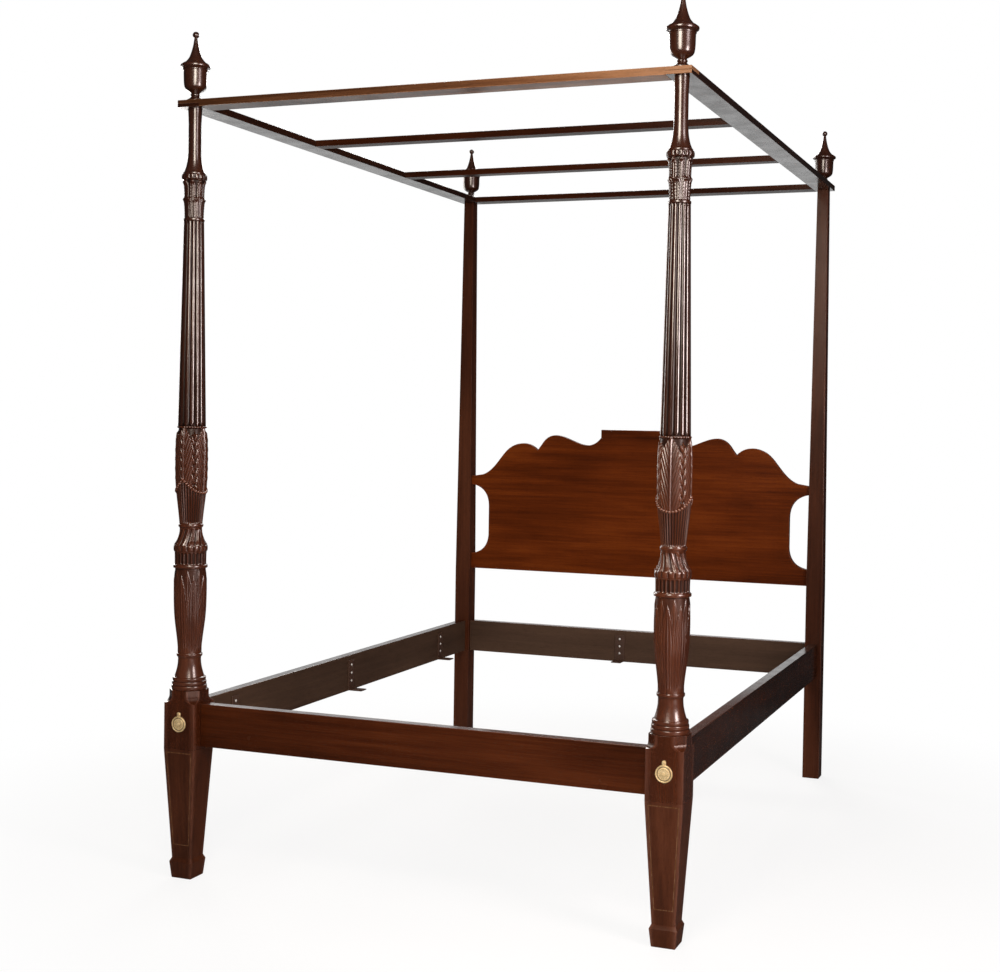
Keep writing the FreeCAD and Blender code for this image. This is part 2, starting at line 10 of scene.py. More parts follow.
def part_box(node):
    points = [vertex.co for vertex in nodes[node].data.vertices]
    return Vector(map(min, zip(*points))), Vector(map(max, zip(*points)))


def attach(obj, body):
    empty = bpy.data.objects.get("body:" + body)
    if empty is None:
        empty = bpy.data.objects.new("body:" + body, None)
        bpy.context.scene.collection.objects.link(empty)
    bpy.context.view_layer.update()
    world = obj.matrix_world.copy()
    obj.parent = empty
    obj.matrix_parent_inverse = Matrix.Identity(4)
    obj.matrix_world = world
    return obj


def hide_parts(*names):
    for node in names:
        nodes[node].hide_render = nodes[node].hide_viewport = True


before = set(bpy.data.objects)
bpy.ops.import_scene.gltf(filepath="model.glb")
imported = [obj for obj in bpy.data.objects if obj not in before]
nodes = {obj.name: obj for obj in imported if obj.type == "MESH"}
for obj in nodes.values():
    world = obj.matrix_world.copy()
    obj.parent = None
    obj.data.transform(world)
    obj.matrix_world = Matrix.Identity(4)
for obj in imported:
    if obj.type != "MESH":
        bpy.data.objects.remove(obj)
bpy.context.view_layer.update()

MM = 0.001
TURN = 2 * math.pi
SIDES = (("right", 1), ("left", -1))

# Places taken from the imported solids, in millimetres
foot_low, foot_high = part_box("foot_post_right")
POST_X = (foot_low.x + foot_high.x) / 2 / MM
FOOT_Y = (foot_low.y + foot_high.y) / 2 / MM
head_low, head_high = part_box("head_post_right")
HEAD_Y = (head_low.y + head_high.y) / 2 / MM
BLOCK_HALF = (foot_high.x - foot_low.x) / 2 / MM

# Heights on a foot post, from the floor up, in millimetres
ANKLE_HEIGHT = 58.0
BLOCK_LOW = 372.0
COVER_MIDDLE = 446.0
CANT_LOW = 505.0
BLOCK_TOP = 541.0
LOWER_VASE_LOW = 643.3
LOWER_VASE_HIGH = 888.0
FLUTES_LOW = 897.3
FLUTES_HIGH = 934.0
LIP_LOW = 934.3
CUP_LOW = 953.0
CUP_HIGH = 1001.0
GARLAND_HIGH = 1141.0
CROWN_LOW = 1286.0
REEDS_LOW = 1292.0
REEDS_HIGH = 1876.0
TIERS_LOW = 1882.3
TIERS_HIGH = 1990.0
STUDS_LOW = 1991.0
STUDS_HIGH = 2006.3


# Node trees for finishes and for repeated pieces
class Socket:
    """One output in a node tree. Arithmetic on it adds Math nodes, and node() adds any other node."""

    def __init__(self, tree, out=None):
        self.tree = tree
        self.out = out

    def node(self, kind, inputs=None, settings=None, take=0):
        made = self.tree.nodes.new(kind)
        for key, value in (settings or {}).items():
            if key == "stops":
                lay_stops(made.color_ramp, value)
            else:
                setattr(made, key, value)
        for key, value in (inputs or {}).items():
            if isinstance(value, Socket):
                self.tree.links.new(value.out, made.inputs[key])
            else:
                made.inputs[key].default_value = value
        return Socket(self.tree, made.outputs[take] if made.outputs else None)

    def also(self, take):
        return Socket(self.tree, self.out.node.outputs[take])

    def math(self, operation, *values):
        return self.node("ShaderNodeMath", dict(enumerate(values)), {"operation": operation})

    def kept(self, low, high):
        return self.math("MINIMUM", self.math("MAXIMUM", self, low), high)

    def between(self, low, high):
        spread = {"interpolation_type": "SMOOTHSTEP"}
        return self.node("ShaderNodeMapRange", {"Value": self, "From Min": low, "From Max": high}, spread)

    def __add__(self, other):
        return self.math("ADD", self, other)

    __radd__ = __add__

    def __sub__(self, other):
        return self.math("SUBTRACT", self, other)

    def __rsub__(self, other):
        return self.math("SUBTRACT", other, self)

    def __mul__(self, other):
        return self.math("MULTIPLY", self, other)

    __rmul__ = __mul__

    def __truediv__(self, other):
        return self.math("DIVIDE", self, other)


def lay_stops(ramp, stops):
    while len(ramp.elements) < len(stops):
        ramp.elements.new(1.0)
    for element, (place, colour) in zip(ramp.elements, stops):
        element.position = place
        element.color = (*colour, 1.0)


def blended(share, one, other):
    return share.node("ShaderNodeMix", {0: share, 6: one, 7: other}, {"data_type": "RGBA"}, take=2)


def shaded(colour, share, lift=0.0):
    return (*[part * share + lift for part in colour], 1.0)


def parts_of(vector):
    first = vector.node("ShaderNodeSeparateXYZ", {0: vector})
    return first, first.also(1), first.also(2)


def joined(start, *parts):
    return start.node("ShaderNodeCombineXYZ", dict(enumerate(parts)))


def noise(place, stretch, detail=4.0, rough=0.55, warp=0.0):
    """Noise on the piece's own coordinates, stretched by a scale for each axis in repeats to the metre."""
    spot = place.node("ShaderNodeMapping", {"Vector": place, "Scale": stretch})
    values = {"Vector": spot, "Scale": 1.0, "Detail": detail, "Roughness": rough, "Distortion": warp}
    return place.node("ShaderNodeTexNoise", values)


def along(axis, length_repeats, cross_repeats):
    return tuple(length_repeats if a == axis else cross_repeats for a in "XYZ")


def evenly(repeats):
    return repeats, repeats, repeats


def measure(start, name):
    return start.node("ShaderNodeAttribute", {}, {"attribute_name": name}, take=2)


def bumped(height, strength, depth):
    return height.node("ShaderNodeBump", {"Strength": strength, "Distance": depth, "Height": height})


def new_finish(name):
    material = bpy.data.materials.new(name)
    material.use_nodes = True
    material.node_tree.nodes.clear()
    start = Socket(material.node_tree)
    return material, start, start.node("ShaderNodeTexCoord", take=3)


def close_finish(start, inputs):
    shader = start.node("ShaderNodeBsdfPrincipled", inputs)
    start.node("ShaderNodeOutputMaterial", {"Surface": shader})


# Finishes
TONE_STOPS = (0.30, 0.50, 0.72)
WOOD_IOR = 1.5
LACQUER_TINT = (1.0, 0.86, 0.79, 1.0)


def lacquered_wood(name, axis, tones, gloss, shine, coat, coat_ior, ripple=0.25, grain=1.0, rightward_sheen=0.0):
    """Mahogany with its grain along one axis: ribbon figure, fine streaks and open pores, with painted
    shade in the
    hollows and edges painted paler as wear and highlight, under clear lacquer. The last argument paints a
    sheen:
    how much paler the wood grows in a metre to the right."""
    dark, _, light = tones
    material, start, place = new_finish(name)
    figure = noise(place, along(axis, 1.3, 17.0), 3.0, 0.5, 0.6)
    streaks = noise(place, along(axis, 3.5, 150.0), 5.0, 0.6, 0.3)
    threads = noise(place, along(axis, 16.0, 620.0), 3.0, 0.55)
    cloud = noise(place, (2.1, 2.3, 1.9), 2.0, 0.5)
    pores = noise(place, along(axis, 55.0, 1500.0), 1.0, 0.4).between(0.60, 0.74)
    hollow = measure(start, "hollow")
    rubbed = measure(start, "rubbed")
    tone = figure * 0.55 + streaks * 0.34 + threads * 0.2 + (cloud - 0.5) * 0.34 - 0.05
    # Painted sheen: the wood grows paler to the right, where more light falls on it.
    if rightward_sheen:
        tone = tone + (parts_of(place)[0] - 0.2) * rightward_sheen
    stops = tuple(zip(TONE_STOPS, tones))
    wood = start.node("ShaderNodeValToRGB", {0: tone.kept(0.0, 1.0)}, {"stops": stops})
    wood = blended(pores * 0.55, wood, shaded(dark, 0.35))
    # Painted shade: the hollows of the carving, the gaps between reeds and the sunk grounds are darkened.
    wood = blended(hollow * 0.88, wood, shaded(dark, 0.28))
    # Painted paler where marked rubbed: wear and painted highlight on eased edges and corners, painted
    # highlight on the beads.
    wear_and_highlight = rubbed * (threads * 0.7 + cloud * 0.6).between(0.35, 0.85)
    wood = blended(wear_and_highlight * 0.5, wood, shaded(light, 1.5, 0.03))
    smear = noise(place, evenly(9.0), 3.0, 0.6)
    lacquer = 0.62 + noise(place, evenly(14.0), 4.0, 0.6).between(0.36, 0.64) * 0.38
    dullness = gloss + (smear - 0.5) * 0.07 + hollow * 0.20 + pores * 0.05 - wear_and_highlight * 0.03
    relief = (threads * 0.25 - pores * 0.5) * grain + noise(place, evenly(38.0), 2.0, 0.5) * ripple
    close_finish(start, {
        "Base Color": wood, "Roughness": dullness.kept(0.05, 0.9), "Normal": bumped(relief, 0.06, 0.001),
        "Specular IOR Level": shine, "Specular Tint": LACQUER_TINT, "IOR": WOOD_IOR,
        "Coat Weight": lacquer * (1 - hollow * 0.9) * coat,
        "Coat Roughness": gloss * 0.7, "Coat IOR": coat_ior,
    })
    return material


def aged_brass():
    material, start, place = new_finish("aged_brass")
    patches = noise(place, evenly(160.0), 4.0, 0.6)
    rubs = noise(place, along("Z", 90.0, 900.0), 2.0, 0.5)
    hollow = measure(start, "hollow")
    stops = ((0.28, (0.42, 0.25, 0.085)), (0.52, (0.84, 0.64, 0.34)), (0.76, (0.96, 0.81, 0.52)))
    metal = start.node("ShaderNodeValToRGB", {0: patches * 0.7 + rubs * 0.3}, {"stops": stops})
    close_finish(start, {
        "Base Color": blended(hollow * 0.85, metal, (0.055, 0.033, 0.014, 1.0)),
        "Metallic": 0.50 - hollow * 0.35, "Roughness": 0.24 + patches * 0.14 + hollow * 0.3,
        "Normal": bumped(rubs * 0.5 + patches, 0.15, 0.0006),
    })
    return material


def dark_metal(name, deep, bright, metallic, gloss):
    """Browned iron or plain steel: mottled colour, rubbed edges painted paler as wear and highlight,
    smoother patches and a fine pitted surface.
    """
    material, start, place = new_finish(name)
    patches = noise(place, evenly(70.0), 5.0, 0.62)
    pits = noise(place, evenly(1100.0), 2.0, 0.5)
    worn_and_highlight = (patches * 0.8 + measure(start, "rubbed") * 0.35).between(0.40, 0.75)
    close_finish(start, {
        "Base Color": blended(worn_and_highlight, (*deep, 1.0), (*bright, 1.0)),
        "Metallic": worn_and_highlight * (metallic * 0.4) + metallic * 0.6,
        "Roughness": gloss + (patches - 0.5) * 0.2 - worn_and_highlight * 0.08,
        "Normal": bumped(pits + patches * 0.6, 0.25, 0.0005),
    })
    return material


def string_inlay():
    material, start, place = new_finish("string_inlay")
    lines = noise(place, along("Z", 24.0, 420.0), 3.0, 0.5)
    stops = ((0.3, (0.085, 0.034, 0.013)), (0.7, (0.150, 0.066, 0.027)))
    close_finish(start, {
        "Base Color": start.node("ShaderNodeValToRGB", {0: lines}, {"stops": stops}),
        "Roughness": lines * 0.1 + 0.22, "Normal": bumped(lines, 0.1, 0.0005), "Coat Weight": 0.5,
    })
    return material


# Tones of the wood, each as dark, middle and light
PLAIN_TONES = (0.019, 0.0042, 0.0012), (0.046, 0.0098, 0.0024), (0.083, 0.0195, 0.0050)
LEG_TONES = (0.023, 0.0060, 0.0024), (0.054, 0.0145, 0.0055), (0.094, 0.0275, 0.0110)
POST_TONES = (0.032, 0.0070, 0.0022), (0.074, 0.0175, 0.0056), (0.124, 0.0340, 0.0115)
# Painted shade: a darker copy of the post tones for the reeds, capitals and finials, standing in for less
# light on the upper post.
SHADED_POST_TONES = (0.014, 0.0030, 0.0010), (0.033, 0.0074, 0.0023), (0.056, 0.0148, 0.0048)
# Painted shade: darker tones for the side rails, standing in for the shade on their outer faces.
SHADED_SIDE_TONES = (0.012, 0.0028, 0.0010), (0.029, 0.0064, 0.0018), (0.053, 0.0128, 0.0037)
# Painted shade: the darkest tones, for the tester side rails; the slats borrow them and the side tones.
SHADED_EDGE_TONES = (0.008, 0.0022, 0.0010), (0.018, 0.0047, 0.0019), (0.032, 0.0090, 0.0035)
SLAT_TONES = SHADED_EDGE_TONES[0], *SHADED_SIDE_TONES[1:]
# Painted light: a paler, golden copy for the tester boards, standing in for the light on their front edges.
LIT_TESTER_TONES = (0.048, 0.0174, 0.0068), (0.126, 0.0510, 0.0215), (0.238, 0.1120, 0.0510)
BOARD_TONES = (0.034, 0.0056, 0.0008), (0.095, 0.0165, 0.0016), (0.176, 0.0355, 0.0038)
INNER_TONES = (0.038, 0.0205, 0.0125), (0.057, 0.0310, 0.0190), (0.079, 0.0435, 0.0265)

# Each wood has its grain's axis, tones, dullness, shine, weight of lacquer and the lacquer's index
post_wood = lacquered_wood("mahogany_turned", "Z", POST_TONES, 0.33, 0.3, 1.0, 2.05, grain=0.4)
shaded_post_wood = lacquered_wood("mahogany_turned_shaded", "Z", SHADED_POST_TONES, 0.33, 0.3, 1.0, 2.05, grain=0.3)
reed_wood = lacquered_wood("mahogany_reeded", "Z", SHADED_POST_TONES, 0.24, 0.3, 1.0, 2.25, grain=0.3)
block_wood = lacquered_wood("mahogany_block", "Z", PLAIN_TONES, 0.24, 0.8, 0.3, 1.5)
leg_wood = lacquered_wood("mahogany_square", "Z", LEG_TONES, 0.30, 0.25, 0.4, 1.3)
shaded_edge_wood = lacquered_wood("mahogany_edge_shaded", "Y", SHADED_EDGE_TONES, 0.26, 0.16, 1.0, 1.26, ripple=1.4)
slat_wood = lacquered_wood("mahogany_slats", "X", SLAT_TONES, 0.30, 0.07, 0.1, 1.26)
cross_wood = lacquered_wood("mahogany_across", "X", PLAIN_TONES, 0.26, 0.16, 1.0, 1.26)
shaded_side_wood = lacquered_wood("mahogany_along_shaded", "Y", SHADED_SIDE_TONES, 0.26, 0.16, 1.0, 1.26)
lit_tester_wood = lacquered_wood("mahogany_tester_lit", "X", LIT_TESTER_TONES, 0.30, 0.04, 0.5, 1.26, rightward_sheen=0.36)
board_wood = lacquered_wood("mahogany_headboard", "X", BOARD_TONES, 0.30, 0.10, 0.4, 1.26)
inner_cross_wood = lacquered_wood("dull_wood_across", "X", INNER_TONES, 0.55, 0.2, 0.0, 1.3)
inner_side_wood = lacquered_wood("dull_wood_along", "Y", INNER_TONES, 0.55, 0.2, 0.0, 1.3)

brass = aged_brass()
iron = dark_metal("browned_iron", (0.058, 0.0265, 0.0150), (0.090, 0.0415, 0.0240), 0.05, 0.58)
# The steel is pale partly as painted highlight, so that the screw heads read as bright glints.
steel = dark_metal("plain_steel", (0.60, 0.58, 0.55), (0.88, 0.86, 0.83), 0.2, 0.30)
inlay = string_inlay()


# Meshes and pieces
def in_scene(name, data):
    item = bpy.data.objects.new(name, data)
    bpy.context.scene.collection.objects.link(item)
    return item


def new_piece(name, mesh, finish, body, slot, *replaced):
    piece = in_scene(name, mesh)
    for material in finish if isinstance(finish, (list, tuple)) else [finish]:
        mesh.materials.append(material)
    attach(piece, body)
    if replaced:
        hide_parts(*replaced)


def worked_mesh(carrier):
    """Plain mesh of what a carrier's modifier makes; the modifier and the carrier go."""
    view = bpy.context.evaluated_depsgraph_get()
    mesh = bpy.data.meshes.new_from_object(carrier.evaluated_get(view))
    carrier.modifiers.clear()
    bpy.data.objects.remove(carrier)
    return mesh


def sharpen(mesh, degrees):
    mesh.set_sharp_from_angle(angle=math.radians(degrees))


def mesh_of(bm, name, sharp_degrees=35):
    """Mesh of a finished bmesh; faces marked flat stay flat, with the imported normals dropped."""
    mesh = bpy.data.meshes.new(name)
    bm.to_mesh(mesh)
    smooth = [face.smooth for face in bm.faces]
    bm.free()
    stale = mesh.attributes.get("custom_normal")
    if stale:
        mesh.attributes.remove(stale)
    sharpen(mesh, sharp_degrees)
    mesh.polygons.foreach_set("use_smooth", smooth)
    return mesh


def tube_mesh(name, points, measures, sharp_degrees=40):
    """Closed skin through rings of points, capped at both ends. The points are rows by columns by three, in
    millimetres, and each measure is stored on them under its label."""
    rows, columns, _ = points.shape
    grid = np.arange(rows * columns).reshape(rows, columns)
    after = np.roll(grid, -1, axis=1)
    quads = np.stack([grid[:-1], after[:-1], after[1:], grid[1:]], axis=-1).reshape(-1, 4)
    caps = [grid[0][::-1].tolist(), grid[-1].tolist()]
    mesh = bpy.data.meshes.new(name)
    mesh.from_pydata((points.reshape(-1, 3) * MM).tolist(), [], quads.tolist() + caps)
    for label, values in measures.items():
        layer = mesh.attributes.new(label, "FLOAT", "POINT")
        layer.data.foreach_set("value", np.ascontiguousarray(values, dtype=np.float32).ravel())
    bm = bmesh.new()
    bm.from_mesh(mesh)
    bmesh.ops.recalc_face_normals(bm, faces=bm.faces)
    bm.to_mesh(mesh)
    bm.free()
    mesh.shade_smooth()
    sharpen(mesh, sharp_degrees)
    return mesh


def unit(value):
    return np.clip(value, 0.0, 1.0)


def eased(low, high, value):
    t = unit((value - low) / (high - low))
    return t * t * (3 - 2 * t)


def hump(value, middle, width):
    return np.exp(-((value - middle) / width) ** 2)


class Outline:
    """Outline of a turned piece: closely spaced radius and height pairs, drawn upward in millimetres."""

    def __init__(self, radius, height, step):
        self.points = [(radius, height)]
        self.step = step

    def line(self, radius, height):
        r, z = self.points[-1]
        count = max(1, round(math.hypot(radius - r, height - z) / self.step))
        for i in range(1, count + 1):
            self.points.append((r + (radius - r) * i / count, z + (height - z) * i / count))

    def lines(self, *places):
        for radius, height in places:
            self.line(radius, height)

    def bead(self, crown, radius, height):
        r, z = self.points[-1]
        rise = height - z
        count = max(6, round(1.3 * rise / self.step))
        for i in range(1, count + 1):
            t = i / count
            swell = math.sqrt(max(0.0, 1 - (2 * t - 1) ** 2))
            wide = r + (radius - r) * t + (crown - (r + radius) / 2) * swell
            self.points.append((wide, z + rise * (1 - math.cos(math.pi * t)) / 2))

    def sweep(self, radius, height, shares):
        """Smooth run through points given as shares of the rise and of the change in radius."""
        r, z = self.points[-1]
        knots = np.array([(0.0, 0.0), *shares, (1.0, 1.0)])
        spans = np.diff(knots[:, 0])
        slopes = np.diff(knots[:, 1]) / spans
        size = len(knots)
        system = np.eye(size)
        goal = np.zeros(size)
        for i in range(1, size - 1):
            system[i, i - 1:i + 2] = spans[i - 1], 2 * (spans[i - 1] + spans[i]), spans[i]
            goal[i] = 6 * (slopes[i] - slopes[i - 1])
        bend = np.linalg.solve(system, goal)
        count = max(4, round(math.hypot(radius - r, height - z) / self.step))
        for i in range(1, count + 1):
            t = i / count
            k = min(np.searchsorted(knots[1:, 0], t), size - 2)
            a, b = knots[k + 1, 0] - t, t - knots[k, 0]
            h = spans[k]
            change = (bend[k] * a ** 3 + bend[k + 1] * b ** 3) / (6 * h)
            before = knots[k, 1] / h - bend[k] * h / 6
            beyond = knots[k + 1, 1] / h - bend[k + 1] * h / 6
            change += before * a + beyond * b
            self.points.append((r + (radius - r) * change, z + (height - z) * t))

    def rows(self):
        pairs = np.array(self.points)
        return pairs[:, 0][:, None], pairs[:, 1][:, None]


# Runs that several turnings share: a hollow neck, and a bell that flares
NECK = ((0.26, 0.42), (0.5, 0.74), (0.76, 0.94))
BELL = ((0.45, 0.22), (0.75, 0.55))


def turned_points(radius, height, angle, y, hand):
    """Rings about a post's axis. Angle 0 faces the foot of the bed, and a quarter turn faces outward."""
    ring = np.empty((*radius.shape, 3))
    ring[..., 0] = hand * (POST_X + radius * np.sin(angle))
    ring[..., 1] = y - radius * np.cos(angle)
    ring[..., 2] = np.broadcast_to(height, radius.shape)
    return ring


def round_angles(columns):
    return (np.arange(columns) * TURN / columns)[None, :]


# Carving, as relief in millimetres over an angle and a height
def from_axis(angle, count, shift=0.0):
    """Place between neighbouring axes of a ring: 0 on an axis, plus or minus 0.5 half way to the next."""
    return (angle * count / TURN + shift + 0.5) % 1.0 - 0.5


def off_axis(angle, count, shift=0.0):
    """Distance from the nearest axis of a ring: 0 on an axis and 1 half way to the next."""
    return np.abs(from_axis(angle, count, shift)) * 2


def tall_leaves(angle, height, radius, shift, tip, rise):
    """Eight tall pointed leaves with a midrib, two pairs of veins and a rolled edge."""
    count, foot = 8, 640.0
    pitch = TURN * radius / count
    across = np.abs(from_axis(angle, count, shift)) * pitch
    up = (height - foot) / (tip - foot)
    half = pitch * 0.5 * (1 - unit((up - 0.58) / 0.42) ** 1.7)
    edge = across / np.maximum(half, 0.05)
    inside = (1 - eased(0.90, 1.02, edge)) * (up < 1.0)
    rib = 1.2 * hump(across, 0.0, 2.0) * (1 - eased(0.92, 1.0, up))
    veins = 0.6 * np.cos(edge * 2.0 * TURN) * eased(0.10, 0.22, edge) * (1 - eased(0.70, 0.95, up))
    roll = 0.6 * hump(edge, 0.90, 0.10)
    bulge = 0.6 * hump(up, 0.94, 0.05)
    return inside * (rise + rib + veins + roll + bulge)


def flutes(angle, height, count, low, high, depth):
    """Upright flutes with round ends between two heights; the answer is how deep they are cut."""
    across = np.abs(from_axis(angle, count)) / 0.42
    end = unit(np.minimum(height - low, high - height) / 4.0)
    reach = np.sqrt(unit(1 - (1 - end) ** 2))
    inside = unit(1 - (across / np.maximum(reach, 0.02)) ** 2)
    return depth * np.sqrt(inside) * (end > 0)


def lower_outline():
    shape = Outline(46.4, 539.0, 1.4)
    shape.line(46.4, BLOCK_TOP)
    for crown, ring_top in ((49.8, 553.0), (48.4, 564.6), (46.8, 576.0)):
        shape.bead(crown, crown - 3.6, ring_top)
        shape.line(crown - 5.0, ring_top + 0.3)
    shape.sweep(32.2, 628.0, NECK)
    shape.line(33.0, 634.0)
    shape.bead(36.2, 33.8, 643.0)
    shape.line(33.4, LOWER_VASE_LOW)
    shape.sweep(47.6, 832.0, ((0.15, 0.16), (0.36, 0.50), (0.52, 0.76), (0.75, 0.95)))
    shape.sweep(46.0, LOWER_VASE_HIGH, ((0.5, 0.30),))
    shape.bead(47.9, 45.2, 897.0)
    shape.line(44.0, FLUTES_LOW)
    shape.sweep(44.6, FLUTES_HIGH, ((0.5, 0.20),))
    shape.line(43.4, LIP_LOW)
    shape.bead(47.2, 43.6, CUP_LOW)
    return shape


def lower_vase(hand):
    """Ringed base, vase in tall leaves, band of flutes and scalloped lip."""
    base, height = lower_outline().rows()
    angle = round_angles(288)
    vase = (height > LOWER_VASE_LOW) & (height < LOWER_VASE_HIGH)
    behind = tall_leaves(angle, height, base, shift=0.5, tip=884.0, rise=0.5)
    leaves = np.maximum(behind, tall_leaves(angle, height, base, shift=0.0, tip=868.0, rise=1.5))
    grow = eased(644.0, 664.0, height)
    relief = np.where(vase, (leaves - 3.4) * grow, 0.0)
    cut = flutes(angle, height, count=24, low=899.0, high=932.5, depth=2.6)
    relief = relief - np.where((height > FLUTES_LOW) & (height < FLUTES_HIGH), cut, 0.0)
    tips = off_axis(angle, 16, 0.5)
    lip = (height > LIP_LOW) * hump(height, 943.0, 9.0)
    relief = relief - lip * 3.4 * tips ** 3 + lip * 0.5
    # Painted shade, stored as hollow: darker between the leaves and down in the flutes and the lip's
    # scallops.
    between_leaves = unit((2.3 - leaves) / 2.3) ** 1.3 * grow * 0.5
    hollow = np.where(vase, between_leaves, unit(-relief / 2.4))
    return turned_points(base + relief, height, angle, FOOT_Y, hand), hollow


def feather_leaf(angle, height, radius):
    """Four broad leaves, one to a face: slanting veins on both sides of the midrib and a nicked edge."""
    foot, tip, widest = 1098.0, 1290.0, 33.0
    across = np.abs(from_axis(angle, 4)) * (TURN * radius / 4)
    up = (height - foot) / (tip - foot)
    slant = (height - 3.0 * across) / 26.0
    wave = np.abs((slant % 1.0) - 0.5) * 2
    nick = 1.0 - 0.13 * wave
    half = widest * np.sqrt(unit(np.minimum(up / 0.10, 1.0))) * (1 - unit((up - 0.66) / 0.34) ** 2.2)
    edge = across / np.maximum(half * nick, 0.05)
    inside = (1 - eased(0.90, 1.03, edge)) * (up > 0) * (up < 1)
    midrib = 1.6 * hump(across, 0.0, 1.7)
    groove = -1.2 * hump(across, 4.0, 1.2)
    veins = -1.7 * hump(wave, 0.0, 0.40) * eased(2.5, 6.0, across)
    cup = 0.8 * unit(edge) ** 2
    return inside * (3.3 + midrib + groove + veins + cup)


def rice_ears(angle, height, radius):
    """Four ears of rice at the corners between the leaves: a stalk with slanting grains on both sides."""
    foot, tip, step, rise = 1112.0, 1278.0, 27.0, 4.9
    signed = from_axis(angle, 4, 0.5) * (TURN * radius / 4)
    across = np.abs(signed)
    up = (height - foot) / (tip - foot)
    live = eased(0.0, 0.03, up) * (1 - eased(0.97, 1.0, up))
    stalk = rise * hump(across, 0.0, 1.3) * live
    stagger = np.where(signed > 0, 0.5, 0.0)
    run = (height - 1.7 * across) / step + stagger
    part = (run % 1.0) - 0.5
    swell = (part / 0.48) ** 2 + ((across - 5.6) / 4.8) ** 2
    grains = rise * np.sqrt(unit(1 - swell)) * live * (up > 0.10) * (up < 0.95)
    return np.maximum(stalk, grains)


GARLAND_DROP = 39.0


def garland_height(angle, hand):
    """Height of the bead string: it dips front and back on the right post, at the sides on the left."""
    shift = 0.0 if hand > 0 else 0.5
    return GARLAND_HIGH - GARLAND_DROP * (1 - off_axis(angle, 2, shift) ** 2)


def upper_outline():
    shape = Outline(43.6, CUP_LOW, 1.25)
    shape.sweep(31.4, CUP_HIGH, NECK)
    shape.line(31.8, 1004.0)
    shape.bead(34.8, 32.4, 1012.5)
    shape.line(32.2, 1012.8)
    shape.sweep(45.6, 1200.0, ((0.15, 0.21), (0.36, 0.55), (0.52, 0.79), (0.75, 0.96)))
    shape.sweep(40.6, CROWN_LOW, ((0.55, 0.16), (0.78, 0.45)))
    shape.bead(41.4, 39.0, REEDS_LOW)
    return shape


def upper_relief(angle, height, base, hand):
    """Leaves and ears above the bead string, grass below it, a leaf cup at the foot, studs at the top."""
    above = eased(-1.5, 1.5, height - garland_height(angle, hand))
    leaves = np.maximum(feather_leaf(angle, height, base), rice_ears(angle, height, base))
    grass = 2.9 * hump(off_axis(angle, 32), 0.0, 0.48)
    vase = eased(1013.0, 1020.0, height) * (1 - eased(1285.0, 1288.0, height))
    relief = vase * (above * (leaves - 4.2) + (1 - above) * (grass - 3.2))
    # Painted shade, stored as hollow: darker between veins, grains and grass blades; the leaf cup and studs
    # are added at the return.
    hollow = vase * (above * unit((3.3 - leaves) / 3.3) + (1 - above) * unit((2.3 - grass) / 1.8))
    lean = (height - 946.0) / 55.0 * 0.75
    leaf = off_axis(angle, 12, lean)
    cup = (1 - eased(996.0, CUP_HIGH, height)) * (height < CUP_HIGH)
    blade = 2.6 * np.sqrt(unit(1 - (leaf / 0.86) ** 2)) + 1.2 * hump(leaf, 0.0, 0.10)
    blade = blade - 0.8 * hump(leaf, 0.42, 0.09)
    curl = 2.4 * hump(height, 955.0, 7.0) * (1 - leaf ** 2)
    crown = height > CROWN_LOW
    studs = off_axis(angle, 30)
    relief = relief + cup * (blade + curl - 3.0) - crown * 1.8 * studs ** 2
    return relief, hollow + cup * unit((2.4 - blade - curl) / 2.4) + crown * studs ** 3


def upper_vase(hand):
    base, height = upper_outline().rows()
    angle = round_angles(320)
    relief, hollow = upper_relief(angle, height, base, hand)
    return turned_points(base + relief, height, angle, FOOT_Y, hand), hollow


def tier(angle, height, radius, shift, foot, tip, roll):
    """One tier of eight upright leaves with a midrib, curled over at the tip; the gaps show the ground."""
    count, nicks = 8, 8.0
    pitch = TURN * radius / count
    across = np.abs(from_axis(angle, count, shift)) * pitch
    up = (height - foot) / (tip - foot)
    half = 0.47 * pitch * (0.80 + 0.20 * np.sin(unit(up) * math.pi)) * np.sqrt(unit((1.03 - up) / 0.22))
    nick = 1 - 0.12 * np.abs(((height / nicks) % 1.0) - 0.5) * 2
    edge = across / np.maximum(half * nick, 0.05)
    inside = (1 - eased(0.86, 1.04, edge)) * (up > 0) * (up < 1.03)
    midrib = 0.9 * hump(across, 0.0, 1.1)
    lobes = 0.6 * hump(edge, 0.62, 0.16) + 0.35 * np.cos(height / nicks * TURN) * eased(0.35, 0.7, edge)
    curl = roll * hump(up, 0.93, 0.075) * (1 - unit(edge) ** 2 * 0.7)
    return inside * (1.8 + midrib + lobes + curl)


def capital_outline():
    shape = Outline(26.6, 1874.0, 1.1)
    shape.bead(29.4, 26.8, 1882.0)
    shape.line(26.4, TIERS_LOW)
    shape.sweep(29.6, 1934.0, BELL)
    shape.sweep(27.6, 1944.0, ((0.5, 0.5),))
    shape.sweep(30.4, 1984.0, BELL)
    shape.lines((30.6, TIERS_HIGH), (31.8, STUDS_LOW))
    shape.bead(36.0, 32.0, 2006.0)
    shape.line(30.4, STUDS_HIGH)
    shape.bead(31.8, 29.6, 2012.0)
    shape.step = 3.5
    shape.sweep(18.0, 2092.0, ((0.17, 0.44), (0.30, 0.66), (0.45, 0.83), (0.72, 0.96)))
    shape.line(18.0, 2150.0)
    shape.sweep(20.0, 2193.0, ((0.5, 0.38),))
    return shape


